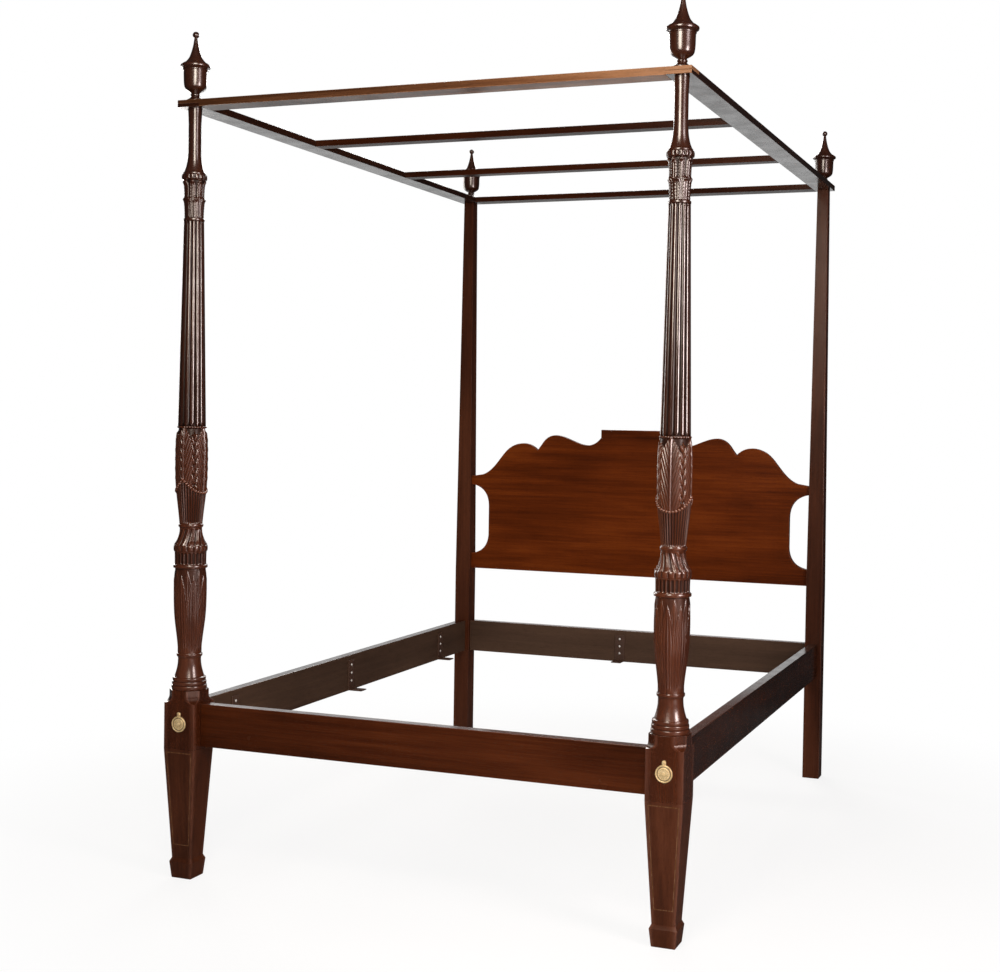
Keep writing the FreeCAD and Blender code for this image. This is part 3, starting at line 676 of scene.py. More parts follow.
def capital(hand):
    """Two tiers of leaves, a studded ring and the plain neck that carries the tester frame."""
    base, height = capital_outline().rows()
    angle = round_angles(240)
    low = tier(angle, height, base, shift=0.0, foot=1883.0, tip=1939.0, roll=2.8)
    high = tier(angle, height, base, shift=0.5, foot=1926.0, tip=1989.0, roll=2.6)
    back = 0.55 * tier(angle, height, base, shift=0.5, foot=1883.0, tip=1936.0, roll=1.0)
    low = np.maximum(low, back)
    leaves = np.where(low > 0.4, np.maximum(low, high * (height > 1936)), high * (height > 1930))
    relief = np.where((height > TIERS_LOW) & (height < TIERS_HIGH), leaves - 2.2, 0.0)
    studs = 2.6 * off_axis(angle, 16) ** 2 * hump(height, 1998.5, 7.0)
    relief = relief - np.where((height > STUDS_LOW) & (height < STUDS_HIGH), studs, 0.0)
    # Painted shade, stored as hollow: darker in the cut grounds between the leaves and the studs.
    hollow = unit(-relief / 2.2) ** 1.2
    return turned_points(base + relief, height, angle, FOOT_Y, hand), hollow


FINIAL_COLUMNS = 96
BALL_RADIUS = 9.5
BALL_HEIGHT = 2401.5
BALL_START = 28.3


def finial_points(hand, y):
    """Urn on a turned foot, with a lid that runs up to a spire and a ball."""
    shape = Outline(25.0, 2213.0, 1.6)
    shape.lines((25.0, 2216.5), (24.3, 2217.2))
    shape.sweep(11.8, 2229.0, NECK)
    shape.bead(13.8, 11.2, 2234.0)
    shape.line(10.8, 2234.3)
    shape.sweep(33.0, 2275.0, ((0.09, 0.12), (0.19, 0.41), (0.29, 0.68), (0.53, 0.92)))
    shape.sweep(33.6, 2299.5, ((0.5, 0.45),))
    shape.bead(35.4, 34.2, 2303.5)
    shape.sweep(38.8, 2308.5, ((0.5, 0.3),))
    shape.bead(42.0, 39.0, 2316.5)
    shape.sweep(31.0, 2322.8, ((0.5, 0.32),))
    shape.line(29.4, 2323.4)
    shape.sweep(4.5, 2393.6, ((0.14, 0.34), (0.28, 0.54), (0.45, 0.70), (0.66, 0.85)))
    for step in range(1, 13):
        turn = math.radians(BALL_START + (180 - BALL_START) * step / 12.2)
        shape.points.append((BALL_RADIUS * math.sin(turn), BALL_HEIGHT - BALL_RADIUS * math.cos(turn)))
    base, height = shape.rows()
    # Painted shade, stored as hollow: two narrow fillets between the turnings are darkened.
    hollow = unit(1 - np.abs(height - 2304.0) / 1.6) + unit(1 - np.abs(height - 2234.2) / 1.4)
    radius, hollow = [np.repeat(rows, FINIAL_COLUMNS, axis=1) for rows in (base, hollow)]
    return turned_points(radius, height, round_angles(FINIAL_COLUMNS), y, hand), hollow


# Square legs
def square_rings(stations, x, y, hand):
    """Rings of a square piece with eased or canted corners. Each station has a height, half side, ease
    and cant."""
    rings = []
    rubs = []
    for height, half, ease, cant in stations:
        ring = []
        rub = []
        cut = max(ease, cant)
        inner = half - cut
        flat = eased(ease, ease + 4.0, cant)
        for corner in range(4):
            turn = Matrix.Rotation(corner * math.pi / 2, 2)
            for i in range(7):
                t = i / 6
                arc = [inner + cut * wave(t * math.pi / 2) for wave in (math.cos, math.sin)]
                line = [a + (b - a) * t for a, b in ((half, inner), (inner, half))]
                spot = turn @ Vector([a + (b - a) * flat for a, b in zip(arc, line)])
                ring.append((hand * (x + spot.x), y + spot.y, height))
                # Eased corners and the cants' edges are marked rubbed, which paints them paler: partly
                # wear, partly painted highlight.
                rub.append(1.0 if flat < 0.5 or i in (0, 6) else 0.0)
            for share in (0.16, 0.5, 0.84):
                spot = turn @ Vector((inner - 2 * inner * share, half))
                ring.append((hand * (x + spot.x), y + spot.y, height))
                rub.append(0.0)
        rings.append(ring)
        rubs.append(rub)
    return np.array(rings), np.array(rubs)


ANKLE_HALF = 31.5
BLOCK_REACH = 50.0
BLOCK_EASE = 1.6
CANT = 26.0


def leg_half(height):
    return ANKLE_HALF + (BLOCK_HALF - ANKLE_HALF) * (height - ANKLE_HEIGHT) / (BLOCK_LOW - ANKLE_HEIGHT)


def foot_leg(hand):
    """Spade foot, tapered leg and square block, whose upper corners are canted from a scooped start."""
    spade = ((0.0, 31.0), (1.2, 32.0), (12.0, 33.3), (45.0, 36.7), (47.0, 36.9), (48.0, 36.4))
    ankle = ((57.0, 32.0), (58.5, ANKLE_HALF), (60.0, 31.6))
    stations = [(height, half, 1.5, 0) for height, half in spade]
    stations += [(height, half, 1.2, 0) for height, half in ankle]
    stations += [(height, leg_half(height), 1.3, 0) for height in np.linspace(66.0, 366.0, 24)]
    stations += [(371.0, 49.9, 1.5, 0), (373.0, BLOCK_REACH, 1.5, 0)]
    stations += [(height, BLOCK_REACH, BLOCK_EASE, 0) for height in (*np.linspace(385.0, 500.0, 9), 504.9)]
    scoop = CANT * math.cos(math.pi / 4)
    for step in range(1, 19):
        turn = math.pi / 2 * step / 18
        cant = scoop * math.sin(turn) * math.sqrt(2)
        stations.append((CANT_LOW + scoop * (1 - math.cos(turn)), BLOCK_REACH, BLOCK_EASE, cant))
    top = [(height, BLOCK_REACH) for height in (530.0, 536.0, 540.0)] + [(540.7, 49.7), (BLOCK_TOP, 49.0)]
    stations += [(height, half, BLOCK_EASE, CANT) for height, half in top]
    return square_rings(stations, POST_X, FOOT_Y, hand)


WELL_RADIUS = 12.0
WELL_DEPTH = 12.0


def bored(leg, hand):
    """The leg with the well for the head of its bed bolt sunk in the front face, under the cover."""
    place = Matrix.Translation(Vector((hand * POST_X, FOOT_Y - BLOCK_HALF, COVER_MIDDLE)) * MM)
    radius = WELL_RADIUS * MM
    bm = bmesh.new()
    bmesh.ops.create_cone(bm, cap_ends=True, segments=48, radius1=radius, radius2=radius,
                          depth=2 * WELL_DEPTH * MM, matrix=place @ Matrix.Rotation(math.pi / 2, 4, "X"))
    drill = in_scene("well_drill", mesh_of(bm, "well_drill"))
    carrier = in_scene("leg_carrier", leg)
    cut = carrier.modifiers.new("well", "BOOLEAN")
    cut.operation = "DIFFERENCE"
    cut.solver = "EXACT"
    cut.object = drill
    mesh = worked_mesh(carrier)
    bpy.data.objects.remove(drill)
    mesh.shade_smooth()
    sharpen(mesh, 28)
    return mesh


STRING_INSET = 8.0
STRING_WIDTH = 2.0
STRING_LOW = 96.0
STRING_HIGH = 364.0
STRING_PROUD = 0.12
STRING_SUNK = -0.8


def string_panel(hand):
    """Inlaid line round the front of one leg, a hair proud of the wood so that it shows."""
    bm = bmesh.new()
    grid = {}
    for ring, width in enumerate((0.0, STRING_WIDTH)):
        low, high = STRING_LOW + width, STRING_HIGH - width
        for level, out in enumerate((STRING_PROUD, STRING_SUNK)):
            for k, (height, sign) in enumerate(((low, -1), (low, 1), (high, 1), (high, -1))):
                across = sign * (leg_half(height) - (STRING_INSET + width))
                front = FOOT_Y - leg_half(height) - out
                place = hand * (POST_X + across) * MM, front * MM, height * MM
                grid[ring, level, k] = bm.verts.new(place)
    for k in range(4):
        n = (k + 1) % 4
        bm.faces.new([grid[0, 0, k], grid[0, 0, n], grid[1, 0, n], grid[1, 0, k]])
        bm.faces.new([grid[0, 1, n], grid[0, 1, k], grid[1, 1, k], grid[1, 1, n]])
        bm.faces.new([grid[0, 0, n], grid[0, 0, k], grid[0, 1, k], grid[0, 1, n]])
        bm.faces.new([grid[1, 0, k], grid[1, 0, n], grid[1, 1, n], grid[1, 1, k]])
    bmesh.ops.recalc_face_normals(bm, faces=bm.faces)
    return bm


# Geometry Nodes for what repeats
FLOAT, COUNT, FINISH = "NodeSocketFloat", "NodeSocketInt", "NodeSocketMaterial"
ON_POINTS = {"data_type": "FLOAT", "domain": "POINT"}

# Whole reeds added to an angle, so that its fraction is taken of a number above zero
WHOLE_REEDS = 16.0


def new_tree(name, kinds):
    """Empty geometry tree with named inputs for its sizes, then its start and those inputs by name."""
    tree = bpy.data.node_groups.new(name, "GeometryNodeTree")
    tree.interface.new_socket("Geometry", in_out="INPUT", socket_type="NodeSocketGeometry")
    for label, kind in kinds.items():
        tree.interface.new_socket(label, in_out="INPUT", socket_type=kind)
    tree.interface.new_socket("Geometry", in_out="OUTPUT", socket_type="NodeSocketGeometry")
    start = Socket(tree)
    entry = start.node("NodeGroupInput")
    return tree, start, {label: entry.also(label) for label in ("Geometry", *kinds)}


def close_tree(start, geometry, finish):
    real = start.node("GeometryNodeRealizeInstances", {"Geometry": geometry})
    smooth = start.node("GeometryNodeSetShadeSmooth", {"Geometry": real})
    done = start.node("GeometryNodeSetMaterial", {"Geometry": smooth, "Material": finish})
    start.node("NodeGroupOutput", {"Geometry": done})


def stored(start, geometry, name, value):
    inputs = {"Geometry": geometry, "Name": name, "Value": value}
    return start.node("GeometryNodeStoreNamedAttribute", inputs, ON_POINTS)


def by_chance(start, low, high, seed):
    inputs = {2: low, 3: high, "Seed": seed}
    return start.node("FunctionNodeRandomValue", inputs, {"data_type": "FLOAT"}, take=1)


def grown(name, tree, sizes, source):
    """Plain mesh that a tree makes from a source mesh with these sizes."""
    carrier = in_scene(name + "_carrier", source)
    recipe = carrier.modifiers.new("recipe", "NODES")
    recipe.node_group = tree
    for item in tree.interface.items_tree:
        if item.in_out == "INPUT" and item.name in sizes:
            recipe[item.identifier] = sizes[item.name]
    mesh = worked_mesh(carrier)
    mesh.name = name
    mesh.materials.clear()
    return mesh


def reeded_tree():
    """Tapering column of round reeds with tongue ends."""
    lengths = ("Low Radius", "High Radius", "Low Height", "High Height", "Depth", "Tongue")
    tree, start, size = new_tree("reeded_column", {
        "Reeds": COUNT, **dict.fromkeys(lengths, FLOAT), "Columns": COUNT, "Rows": COUNT, "Finish": FINISH,
    })
    drum = start.node("GeometryNodeMeshCylinder", {
        "Vertices": size["Columns"], "Side Segments": size["Rows"], "Radius": 1.0, "Depth": 1.0,
    }, {"fill_type": "NGON"})
    x, y, z = parts_of(start.node("GeometryNodeInputPosition"))
    angle = start.math("ARCTAN2", y, x)
    place = start.math("FRACT", angle * size["Reeds"] / TURN + (WHOLE_REEDS + 0.5)) - 0.5
    across = start.math("ABSOLUTE", place) * 2
    up = z + 0.5
    length = size["High Height"] - size["Low Height"]
    end = start.math("MINIMUM", up, 1 - up) * length
    back = (1 - end / size["Tongue"]).kept(0.0, 1.0)
    width = start.math("SQRT", (1 - back * back).kept(0.0004, 1.0))
    ratio = across / width
    swell = (1 - ratio * ratio).kept(0.0, 1.0)
    crest = size["Low Radius"] + (size["High Radius"] - size["Low Radius"]) * up
    radius = crest * (1 - size["Depth"] * (1 - swell))
    level = size["Low Height"] + length * up
    moved = joined(start, start.math("COSINE", angle) * radius, start.math("SINE", angle) * radius, level)
    # Painted shade, stored as hollow: the gaps between the reeds are darkened.
    marked = stored(start, drum, "hollow", ratio.between(0.42, 0.86))
    column = start.node("GeometryNodeSetPosition", {"Geometry": marked, "Position": moved})
    close_tree(start, column, size["Finish"])
    return tree


def bead_tree():
    """Round beads strung at even steps along a closed line."""
    tree, start, size = new_tree("bead_string", {"Bead Radius": FLOAT, "Step": FLOAT, "Finish": FINISH})
    line = start.node("GeometryNodeMeshToCurve", {"Mesh": size["Geometry"]})
    steps = {"Curve": line, "Length": size["Step"]}
    even = start.node("GeometryNodeResampleCurve", steps, {"mode": "LENGTH"})
    round_bead = {"Segments": 10, "Rings": 7, "Radius": size["Bead Radius"]}
    bead = start.node("GeometryNodeMeshUVSphere", round_bead)
    # Each bead is marked rubbed, which paints it paler: a painted highlight.
    worn_and_highlight = stored(start, bead, "rubbed", 1.2)
    jitter = by_chance(start, 0.92, 1.08, seed=4)
    strung = start.node("GeometryNodeInstanceOnPoints", {"Points": even, "Instance": worn_and_highlight, "Scale": jitter})
    close_tree(start, strung, size["Finish"])
    return tree


def screw_tree():
    """Round screw heads on points, each turned by chance about its own line, with a straight slot."""
    lengths = ("Head Radius", "Head Rise", "Slot Width", "Slot Depth")
    tree, start, size = new_tree("screw_heads", {**dict.fromkeys(lengths, FLOAT), "Finish": FINISH})
    ball = start.node("GeometryNodeMeshUVSphere", {"Segments": 28, "Rings": 14, "Radius": 1.0})
    shape = joined(start, size["Head Radius"], size["Head Radius"], size["Head Rise"])
    dome = start.node("GeometryNodeTransform", {"Geometry": ball, "Scale": shape})
    bar_size = joined(start, size["Head Radius"] * 3, size["Slot Width"], size["Head Rise"] * 2)
    bar = start.node("GeometryNodeMeshCube", {"Size": bar_size})
    lift = joined(start, 0.0, 0.0, size["Head Rise"] * 2 - size["Slot Depth"])
    raised = start.node("GeometryNodeTransform", {"Geometry": bar, "Translation": lift})
    cut = {"operation": "DIFFERENCE", "solver": "EXACT"}
    head = start.node("GeometryNodeMeshBoolean", {"Mesh 1": dome, "Mesh 2": raised}, cut)
    as_vector = {"data_type": "FLOAT_VECTOR"}
    facing = start.node("GeometryNodeInputNamedAttribute", {"Name": "facing"}, as_vector)
    spin = by_chance(start, 0.0, 3.1, seed=11)
    turned = start.node("FunctionNodeAxisAngleToRotation", {"Axis": (0, 0, 1), "Angle": spin})
    aligned = start.node("FunctionNodeAlignRotationToVector", {"Vector": facing}, {"axis": "Z"})
    both = {"Rotation": aligned, "Rotate By": turned}
    aimed = start.node("FunctionNodeRotateRotation", both, {"rotation_space": "LOCAL"})
    placing = {"Points": size["Geometry"], "Instance": head, "Rotation": aimed}
    close_tree(start, start.node("GeometryNodeInstanceOnPoints", placing), size["Finish"])
    return tree


def facing_points(name, spots):
    """Loose points in millimetres, each with the direction its head faces."""
    mesh = bpy.data.meshes.new(name)
    mesh.from_pydata([[c * MM for c in place] for place, _ in spots], [], [])
    layer = mesh.attributes.new("facing", "FLOAT_VECTOR", "POINT")
    layer.data.foreach_set("vector", [c for _, direction in spots for c in direction])
    return mesh


def closed_line(name, points):
    mesh = bpy.data.meshes.new(name)
    count = len(points)
    mesh.from_pydata((points * MM).tolist(), [(i, (i + 1) % count) for i in range(count)], [])
    return mesh


# Foot posts and finials
column_recipe = reeded_tree()
bead_recipe = bead_tree()
REED_COUNT = 14
REED_TURN = math.radians(6.0)
REED_SIZES = {
    "Reeds": REED_COUNT, "Columns": REED_COUNT * 16, "Rows": 220, "Depth": 0.088, "Tongue": 11.0 * MM,
    "Low Radius": 39.5 * MM, "Low Height": REEDS_LOW * MM,
    "High Radius": 28.5 * MM, "High Height": REEDS_HIGH * MM, "Finish": reed_wood,
}
BEAD_SIZES = {"Bead Radius": 4.1 * MM, "Step": 8.6 * MM, "Finish": post_wood}
BEAD_SINK = 0.6


def reeds(name, hand):
    mesh = grown(name, column_recipe, REED_SIZES, bpy.data.meshes.new(name + "_seed"))
    place = Matrix.Translation((hand * POST_X * MM, FOOT_Y * MM, 0))
    mesh.transform(place @ Matrix.Rotation(hand * REED_TURN, 4, "Z"))
    sharpen(mesh, 50)
    return mesh


def garland(name, hand):
    angle = np.linspace(0, TURN, 240, endpoint=False)[None, :]
    height = garland_height(angle, hand)
    outline, level = upper_outline().rows()
    base = np.interp(height.ravel(), level.ravel(), outline.ravel())[None, :]
    line = turned_points(base - BEAD_SINK, height, angle, FOOT_Y, hand)[0]
    return grown(name, bead_recipe, BEAD_SIZES, closed_line(name + "_line", line))


BLOCK_FINISH_LOW = 374.0 * MM
CARVED = (("lower_vase", lower_vase, post_wood), ("upper_vase", upper_vase, post_wood),
          ("capital", capital, shaded_post_wood))

for side, hand in SIDES:
    node = "foot_post_" + side
    rings, rubs = foot_leg(hand)
    leg = bored(tube_mesh("foot_leg_" + side, rings, {"rubbed": rubs}, 28), hand)
    for face in leg.polygons:
        face.material_index = 1 if face.center.z > BLOCK_FINISH_LOW else 0
    new_piece("foot_leg_" + side, leg, [leg_wood, block_wood], "bedstead", "mahogany", node)
    for label, shape, finish in CARVED:
        name = "foot_%s_%s" % (label, side)
        points, hollow = shape(hand)
        mesh = tube_mesh(name, points, {"hollow": hollow}, 62)
        new_piece(name, mesh, finish, "bedstead", "mahogany", node)
    name = "foot_reeds_" + side
    new_piece(name, reeds(name, hand), reed_wood, "bedstead", "mahogany", node)
    name = "foot_garland_" + side
    new_piece(name, garland(name, hand), post_wood, "bedstead", "mahogany", node)
    name = "leg_string_" + side
    new_piece(name, mesh_of(string_panel(hand), name), inlay, "bedstead", "stringing", "leg_stringing")
    for end, y in (("foot", FOOT_Y), ("head", HEAD_Y)):
        node = "finial_%s_%s" % (end, side)
        name = "urn_" + node
        points, hollow = finial_points(hand, y)
        new_piece(name, tube_mesh(name, points, {"hollow": hollow}), shaded_post_wood, node, "mahogany", node)


# Boards and irons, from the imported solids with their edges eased
def eased_solid(node, ease, shortest, sharp=50, clamp=True):
    bm = bmesh.new()
    bm.from_mesh(nodes[node].data)
    bmesh.ops.remove_doubles(bm, verts=bm.verts, dist=0.00002)
    bmesh.ops.dissolve_limit(bm, angle_limit=math.radians(0.5), verts=bm.verts, edges=bm.edges)
    for face in bm.faces:
        face.smooth = False
    chosen = []
    for edge in bm.edges:
        if len(edge.link_faces) == 2 and edge.is_convex and edge.calc_face_angle() > math.radians(sharp):
            if edge.calc_length() > shortest * MM:
                chosen.append(edge)
    # Bevel faces are marked rubbed, which paints them paler: partly wear, partly painted highlight.
    rubbed = bm.faces.layers.float.new("rubbed")
    made = bmesh.ops.bevel(bm, geom=chosen, offset=ease * MM, segments=3, profile=0.5, affect="EDGES",
                           clamp_overlap=clamp)
    for face in made["faces"]:
        face[rubbed] = 1.0
        face.smooth = True
    return bm


def board(node, finish, body, slot, ease, shortest=12.0, inner=None):
    """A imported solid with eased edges. Faces that look along inner take the second finish."""
    bm = eased_solid(node, ease, shortest)
    if inner:
        for face in bm.faces:
            face.material_index = 1 if face.normal.dot(Vector(inner)) > 0.9 else 0
    new_piece("eased_" + node, mesh_of(bm, "eased_" + node), finish, body, slot, node)


POST_EASE = 2.0
RAIL_EASE = 1.6
TESTER_EASE = 1.2
IRON_EASE = 0.7

for side, hand in SIDES:
    board("head_post_" + side, leg_wood, "bedstead", "mahogany", POST_EASE)
    finish = [shaded_side_wood, inner_side_wood]
    board("side_rail_" + side, finish, "bedstead", "rail_wood", RAIL_EASE, inner=(-hand, 0, 0))
    # Painted light and shade: front faces take the lit tester tones on the right and the shaded edge tones
    # on the left.
    finish = [shaded_edge_wood, lit_tester_wood if hand > 0 else shaded_edge_wood]
    board("tester_side_rail_" + side, finish, "tester", "mahogany", TESTER_EASE, inner=(0, -1, 0))
for end, inward in (("foot", (0, 1, 0)), ("head", (0, -1, 0))):
    board(end + "_rail", [cross_wood, inner_cross_wood], "bedstead", "rail_wood", RAIL_EASE, inner=inward)
board("tester_foot_rail", lit_tester_wood, "tester", "mahogany", TESTER_EASE)
for node in ("tester_head_rail", "tester_slat_1", "tester_slat_2"):
    board(node, slat_wood, "tester", "mahogany", TESTER_EASE)
headboard = mesh_of(eased_solid("headboard", 1.8, 0.0, 55, False), "eased_headboard")
new_piece("eased_headboard", headboard, board_wood, "bedstead", "mahogany", "headboard")

iron_nodes = ["bed_iron_head"] + ["bed_iron_%d_%s" % (row, side) for row in (1, 2, 3) for side, _ in SIDES]
for node in iron_nodes:
    board(node, iron, "bedstead", "iron", IRON_EASE, 6.0)


# Screws and pins
RAIL_MIDDLE = 441.0
SCREW_PITCH = 28.0
IRON_THICKNESS = 4.0
SLAT_SCREW_INSET = 20.0
EYE_RISE = 29.0
SCREW_SIZES = {
    "Head Radius": 4.2 * MM, "Head Rise": 2.6 * MM, "Slot Width": 1.0 * MM, "Slot Depth": 1.1 * MM,
}
PIN_SIZES = {
    "Head Radius": 3.1 * MM, "Head Rise": 0.85 * MM, "Slot Width": 0.3 * MM, "Slot Depth": 0.0,
}
screw_recipe = screw_tree()


def iron_screw_spots():
    spots = []
    for node in iron_nodes:
        low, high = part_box(node)
        middle = (low + high) / 2 / MM
        for k in (-1, 0, 1):
            height = RAIL_MIDDLE + SCREW_PITCH * k
            if node == "bed_iron_head":
                spots.append(((middle.x, high.y / MM - IRON_THICKNESS, height), (0, -1, 0)))
            else:
                sign = 1 if middle.x > 0 else -1
                wall = max(abs(low.x), abs(high.x)) / MM - IRON_THICKNESS
                spots.append(((sign * wall, middle.y, height), (-sign, 0, 0)))
    return spots


def slat_screw_spots():
    spots = []
    for row in (1, 2):
        low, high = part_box("tester_slat_%d" % row)
        for sign in (-1, 1):
            across = sign * (high.x / MM - SLAT_SCREW_INSET)
            spots.append(((across, (low.y + high.y) / 2 / MM, high.z / MM), (0, 0, 1)))
    return spots


def pin_spots():
    low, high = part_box("cover_pins")
    height = COVER_MIDDLE + EYE_RISE
    spots = []
    for sign in (-1, 1):
        spots.append(((sign * POST_X, low.y / MM, height), (0, -1, 0)))
        spots.append(((sign * POST_X, high.y / MM, height), (0, 1, 0)))
    return spots


def screws(name, spots, sizes, finish, body, slot, *replaced):
    mesh = grown(name, screw_recipe, {**sizes, "Finish": finish}, facing_points(name + "_points", spots))
    sharpen(mesh, 40)
    new_piece(name, mesh, finish, body, slot, *replaced)


screws("iron_screw_heads", iron_screw_spots(), SCREW_SIZES, steel, "bedstead", "steel", "bed_iron_screws")
screws("slat_screw_heads", slat_screw_spots(), SCREW_SIZES, steel, "tester", "steel", "tester_slat_screws")
screws("cover_pin_domes", pin_spots(), PIN_SIZES, brass, "bedstead", "brass")


# Bolt covers, drawn from the wood outward
RIM_RADIUS = 20.5
RIM_ROUND = 2.0
RIM_RISE = 1.6
TAB_ROUND = 5.5
TAB_RISE = 2.0
EYE_RADIUS = 1.75
PETALS = 16


def cover_outline():
    """Rolled rim, sunk ground, rosette and boss, from the edge to the middle."""
    shape = Outline(RIM_RADIUS + RIM_ROUND, 0.0, 0.5)
    shape.line(RIM_RADIUS + RIM_ROUND, RIM_RISE)
    for step in range(1, 13):
        turn = math.pi * step / 12
        height = RIM_RISE + RIM_ROUND * math.sin(turn)
        shape.points.append((RIM_RADIUS + RIM_ROUND * math.cos(turn), height))
    shape.line(17.2, 1.5)
    shape.bead(17.2, 17.0, 1.6)
    shape.lines((16.2, 1.7), (15.2, 2.7), (14.2, 3.1))
    shape.sweep(6.4, 3.7, ((0.5, 0.35),))
    shape.lines((6.0, 3.2), (5.4, 3.2), (4.9, 4.2), (3.2, 4.8), (0.6, 4.98))
    return shape


def arc_points(radius, start, end, count):
    turns = np.linspace(start, end, count)
    return [(radius * math.cos(turn), EYE_RISE + radius * math.sin(turn)) for turn in turns]


def add_tab(bm, middle, back, out):
    """Tab of a cover, with a round end and an eye for the pin; its foot is closed under the rim."""
    side = [(5.2, 17.5), (4.6, 21.5), (5.5, 26.0)]
    outline = side + arc_points(TAB_ROUND, -0.45, math.pi + 0.45, 21) + [(-x, z) for x, z in reversed(side)]
    eye = arc_points(EYE_RADIUS, -math.pi / 2, 1.5 * math.pi, len(outline))
    eye[-1] = eye[0]
    rows = []
    for inset, level in ((0.0, 0.0), (0.0, 1.5), (0.45, TAB_RISE)):
        row = []
        for x, z in outline:
            pull = 0 if z < 20 else (EYE_RISE - z) * inset / 6.0
            row.append((x * (1 - inset / 6.0), z + pull, level))
        rows.append(row)
    rows += [[(x, z, level) for x, z in eye] for level in (TAB_RISE, 0.0)]
    made = []
    for row in rows:
        places = [(middle + x, back + out * level, COVER_MIDDLE + z) for x, z, level in row]
        made.append([bm.verts.new([part * MM for part in place]) for place in places])
    for one, other in zip(made, made[1:] + made[:1]):
        for i in range(len(outline) - 1):
            bm.faces.new([one[i], one[i + 1], other[i + 1], other[i]])
    bm.faces.new([made[2][0], made[3][0], made[2][-1]])
    bm.faces.new([made[0][0], made[0][-1], made[4][0]])
    bm.faces.new([made[k][0] for k in (0, 1, 2)] + [made[k][-1] for k in (2, 1, 0)])
    bmesh.ops.remove_doubles(bm, verts=[v for row in made for v in row], dist=0.000005)


def cover_mesh(name, node, out):
    """Round cast cover with a ring of petals, and the tab it hangs by."""
    low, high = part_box(node)
    back = (high.y if out < 0 else low.y) / MM
    middle = (low.x + high.x) / 2 / MM
    radius, rise = cover_outline().rows()
    angle = round_angles(96)
    petals = np.abs(np.sin(angle * PETALS / 2)) ** 0.8
    band = eased(6.6, 7.6, radius) * (1 - eased(12.6, 14.0, radius)) * (rise > 2.5)
    lift = rise - band * 0.75 * (1 - petals)
    ground = eased(15.6, 16.4, radius) * (1 - eased(18.4, 19.2, radius)) * (rise < 2.4)
    hollow = ground + band * (1 - petals) * 0.7 + hump(radius, 5.8, 0.5) * (rise < 3.6)
    ring = np.empty((*lift.shape, 3))
    ring[..., 0] = middle + radius * np.cos(angle)
    ring[..., 1] = back + out * lift
    ring[..., 2] = COVER_MIDDLE + radius * np.sin(angle)
    disc = tube_mesh(name + "_disc", ring, {"hollow": np.broadcast_to(unit(hollow), lift.shape)}, 45)
    bm = bmesh.new()
    bm.from_mesh(disc)
    bpy.data.meshes.remove(disc)
    add_tab(bm, middle, back, out)
    bmesh.ops.recalc_face_normals(bm, faces=bm.faces)
    for face in bm.faces:
        face.smooth = True
    return mesh_of(bm, name, 40)


for side, hand in SIDES:
    for end, out in (("foot", -1), ("head", 1)):
        node = "bolt_cover_%s_%s" % (end, side)
        name = "brass_" + node
        new_piece(name, cover_mesh(name, node, out), brass, "cover_%s_%s" % (end, side), "brass", node)

# Solids that stay as packed, with a worked finish
kept_solids = {"bed_bolts": iron, "bed_bolt_nuts": iron, "cover_pins": brass, "tester_pins": steel}
for node, material in kept_solids.items():
    for place in nodes[node].material_slots:
        place.material = material


# Floor, light and camera
FLOOR_RADIUS = 2.5


def pale_floor():
    bm = bmesh.new()
    bmesh.ops.create_circle(bm, cap_ends=True, segments=96, radius=FLOOR_RADIUS)
    floor = in_scene("pale_floor", mesh_of(bm, "pale_floor"))
    material, start, place = new_finish("pale_floor")
    x, y, _ = parts_of(place)
    far = start.math("SQRT", x * x + y * y).between(1.1, 2.4)
    path = start.node("ShaderNodeLightPath")
    gloss = path.also("Is Glossy Ray")
    through = path.also("Is Transmission Ray")
    seen = start.math("MAXIMUM", start.math("MAXIMUM", path, gloss * 0.03), through)
    pale = blended(gloss, (0.93, 0.93, 0.93, 1.0), (0.02, 0.02, 0.02, 1.0))
    matt = start.node("ShaderNodeBsdfDiffuse", {"Color": pale})
    white = start.node("ShaderNodeEmission", {"Color": (1.0, 1.0, 1.0, 1.0), "Strength": 1.0})
    surface = start.node("ShaderNodeMixShader", {0: seen * (0.82 + far * 0.18), 1: matt, 2: white})
    start.node("ShaderNodeOutputMaterial", {"Surface": surface})
    floor.data.materials.append(material)


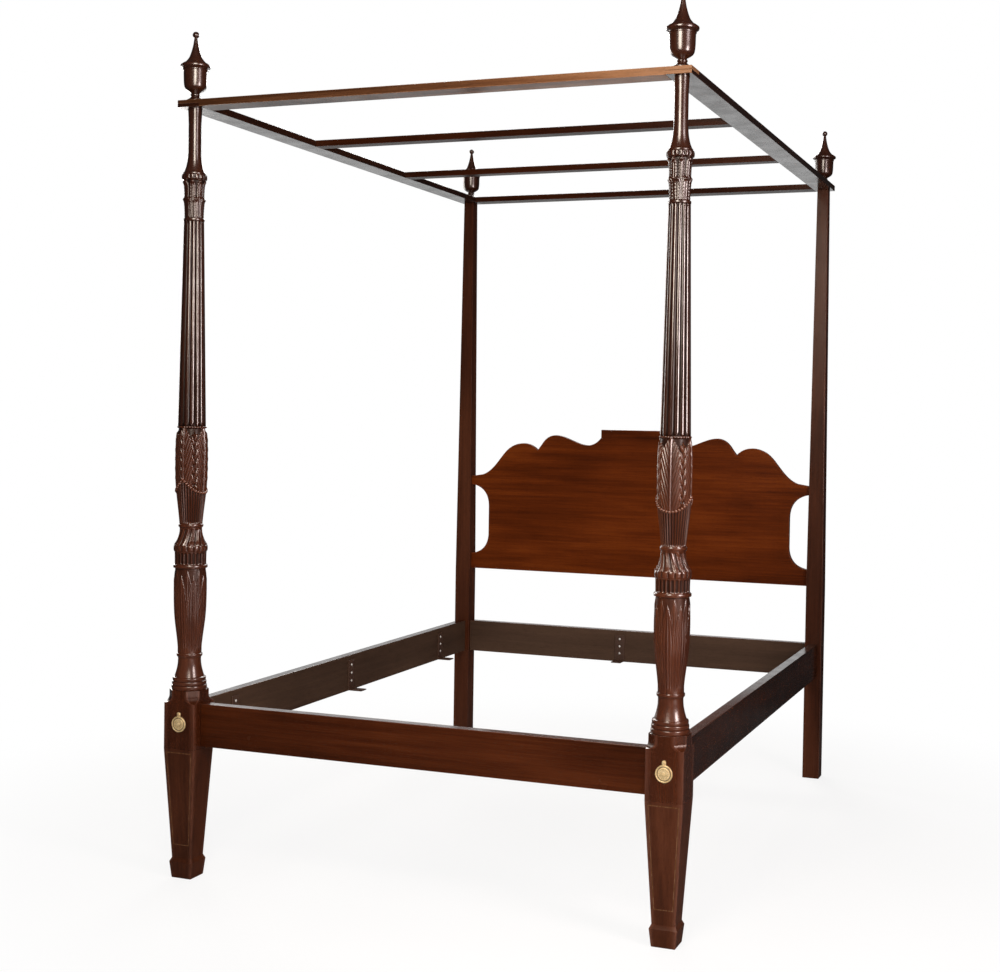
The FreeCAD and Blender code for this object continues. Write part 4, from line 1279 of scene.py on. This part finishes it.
def studio_world():
    """White all round to the eye. In the gloss of the wood there are two white bands behind the bed and a
    pale patch low in front on the right, and it is dim elsewhere."""
    world = bpy.data.worlds.new("studio")
    bpy.context.scene.world = world
    world.use_nodes = True
    world.node_tree.nodes.clear()
    start = Socket(world.node_tree)
    right, back, up = parts_of(start.node("ShaderNodeTexCoord", take=0))
    steep = start.math("ABSOLUTE", up)
    band = steep.between(0.10, 0.15) * (1 - steep.between(0.25, 0.32))
    behind = (right * -1).between(0.05, 0.16) * back.between(0.55, 0.8) * band
    patch = (right * 0.83 - back * 0.56).between(0.93, 0.98) * up.between(-0.32, -0.21)
    patch = patch * (1 - up.between(-0.17, -0.13))
    path = start.node("ShaderNodeLightPath")
    gloss = start.math("MAXIMUM", path.also("Is Glossy Ray"), path.also("Is Transmission Ray"))
    front = (back * -1 + right * 0.3).between(-0.3, 0.95)
    plain = (0.10 + front * 0.32) * (1 - gloss) + gloss * (0.02 + behind * 0.98 + patch * 3.0)
    level = path + (1 - path) * plain
    colour = blended(patch * gloss, (1.0, 1.0, 1.0, 1.0), (1.0, 0.72, 0.64, 1.0))
    backdrop = start.node("ShaderNodeBackground", {"Color": colour, "Strength": level})
    start.node("ShaderNodeOutputWorld", {"Surface": backdrop})


def softbox(name, place, target, width, height, watts, colour, shines):
    lamp = bpy.data.lights.new(name, "AREA")
    lamp.shape = "RECTANGLE"
    lamp.size = width
    lamp.size_y = height
    lamp.energy = watts
    lamp.color = colour
    box = in_scene(name, lamp)
    box.location = place
    box.rotation_euler = (Vector(target) - Vector(place)).to_track_quat("-Z", "Y").to_euler()
    box.visible_camera = False
    box.visible_glossy = shines


pale_floor()
studio_world()
softbox("front_softbox", (0.52, -3.0, 2.50), (0.5, -0.9, 1.6), 0.85, 1.6, 46.0, (1.0, 0.89, 0.77), True)
softbox("side_softbox", (3.0, -2.0, 1.80), (0.6, -0.9, 1.6), 0.85, 1.1, 44.0, (1.0, 0.85, 0.82), True)
softbox("high_softbox", (3.0, -2.0, 3.10), (0.6, -0.9, 2.2), 0.85, 0.6, 12.0, (1.0, 0.82, 0.80), True)
softbox("fill_softbox", (1.3, -2.8, 1.00), (0.5, -0.9, 0.7), 1.20, 1.2, 17.0, (1.0, 0.97, 0.94), False)
softbox("back_softbox", (-1.45, 3.9, 3.6), (-0.2, 0.6, 1.2), 2.0, 1.2, 85.0, (1.0, 0.98, 0.96), True)
softbox("left_softbox", (-3.4, 2.0, 1.80), (-0.4, 0.2, 1.4), 1.10, 2.0, 46.0, (1.0, 0.95, 0.90), True)
softbox("top_softbox", (0.0, -0.4, 4.6), (0.0, 0.2, 0.0), 3.6, 3.6, 30.0, (1.0, 1.0, 1.0), False)

CAMERA_PLACE = (1.75475, -4.64211, 1.33776)
CAMERA_DEGREES = (88.6312, -0.9195, 20.7237)
lens = bpy.data.cameras.new("viewpoint")
lens.sensor_width = 36.0
lens.lens = 54.318
lens.shift_x = -0.04588
lens.shift_y = -0.0342
viewpoint = in_scene("viewpoint", lens)
viewpoint.location = CAMERA_PLACE
viewpoint.rotation_euler = [math.radians(degrees) for degrees in CAMERA_DEGREES]
bpy.context.scene.camera = viewpoint
bpy.context.scene.view_settings.view_transform = "Standard"
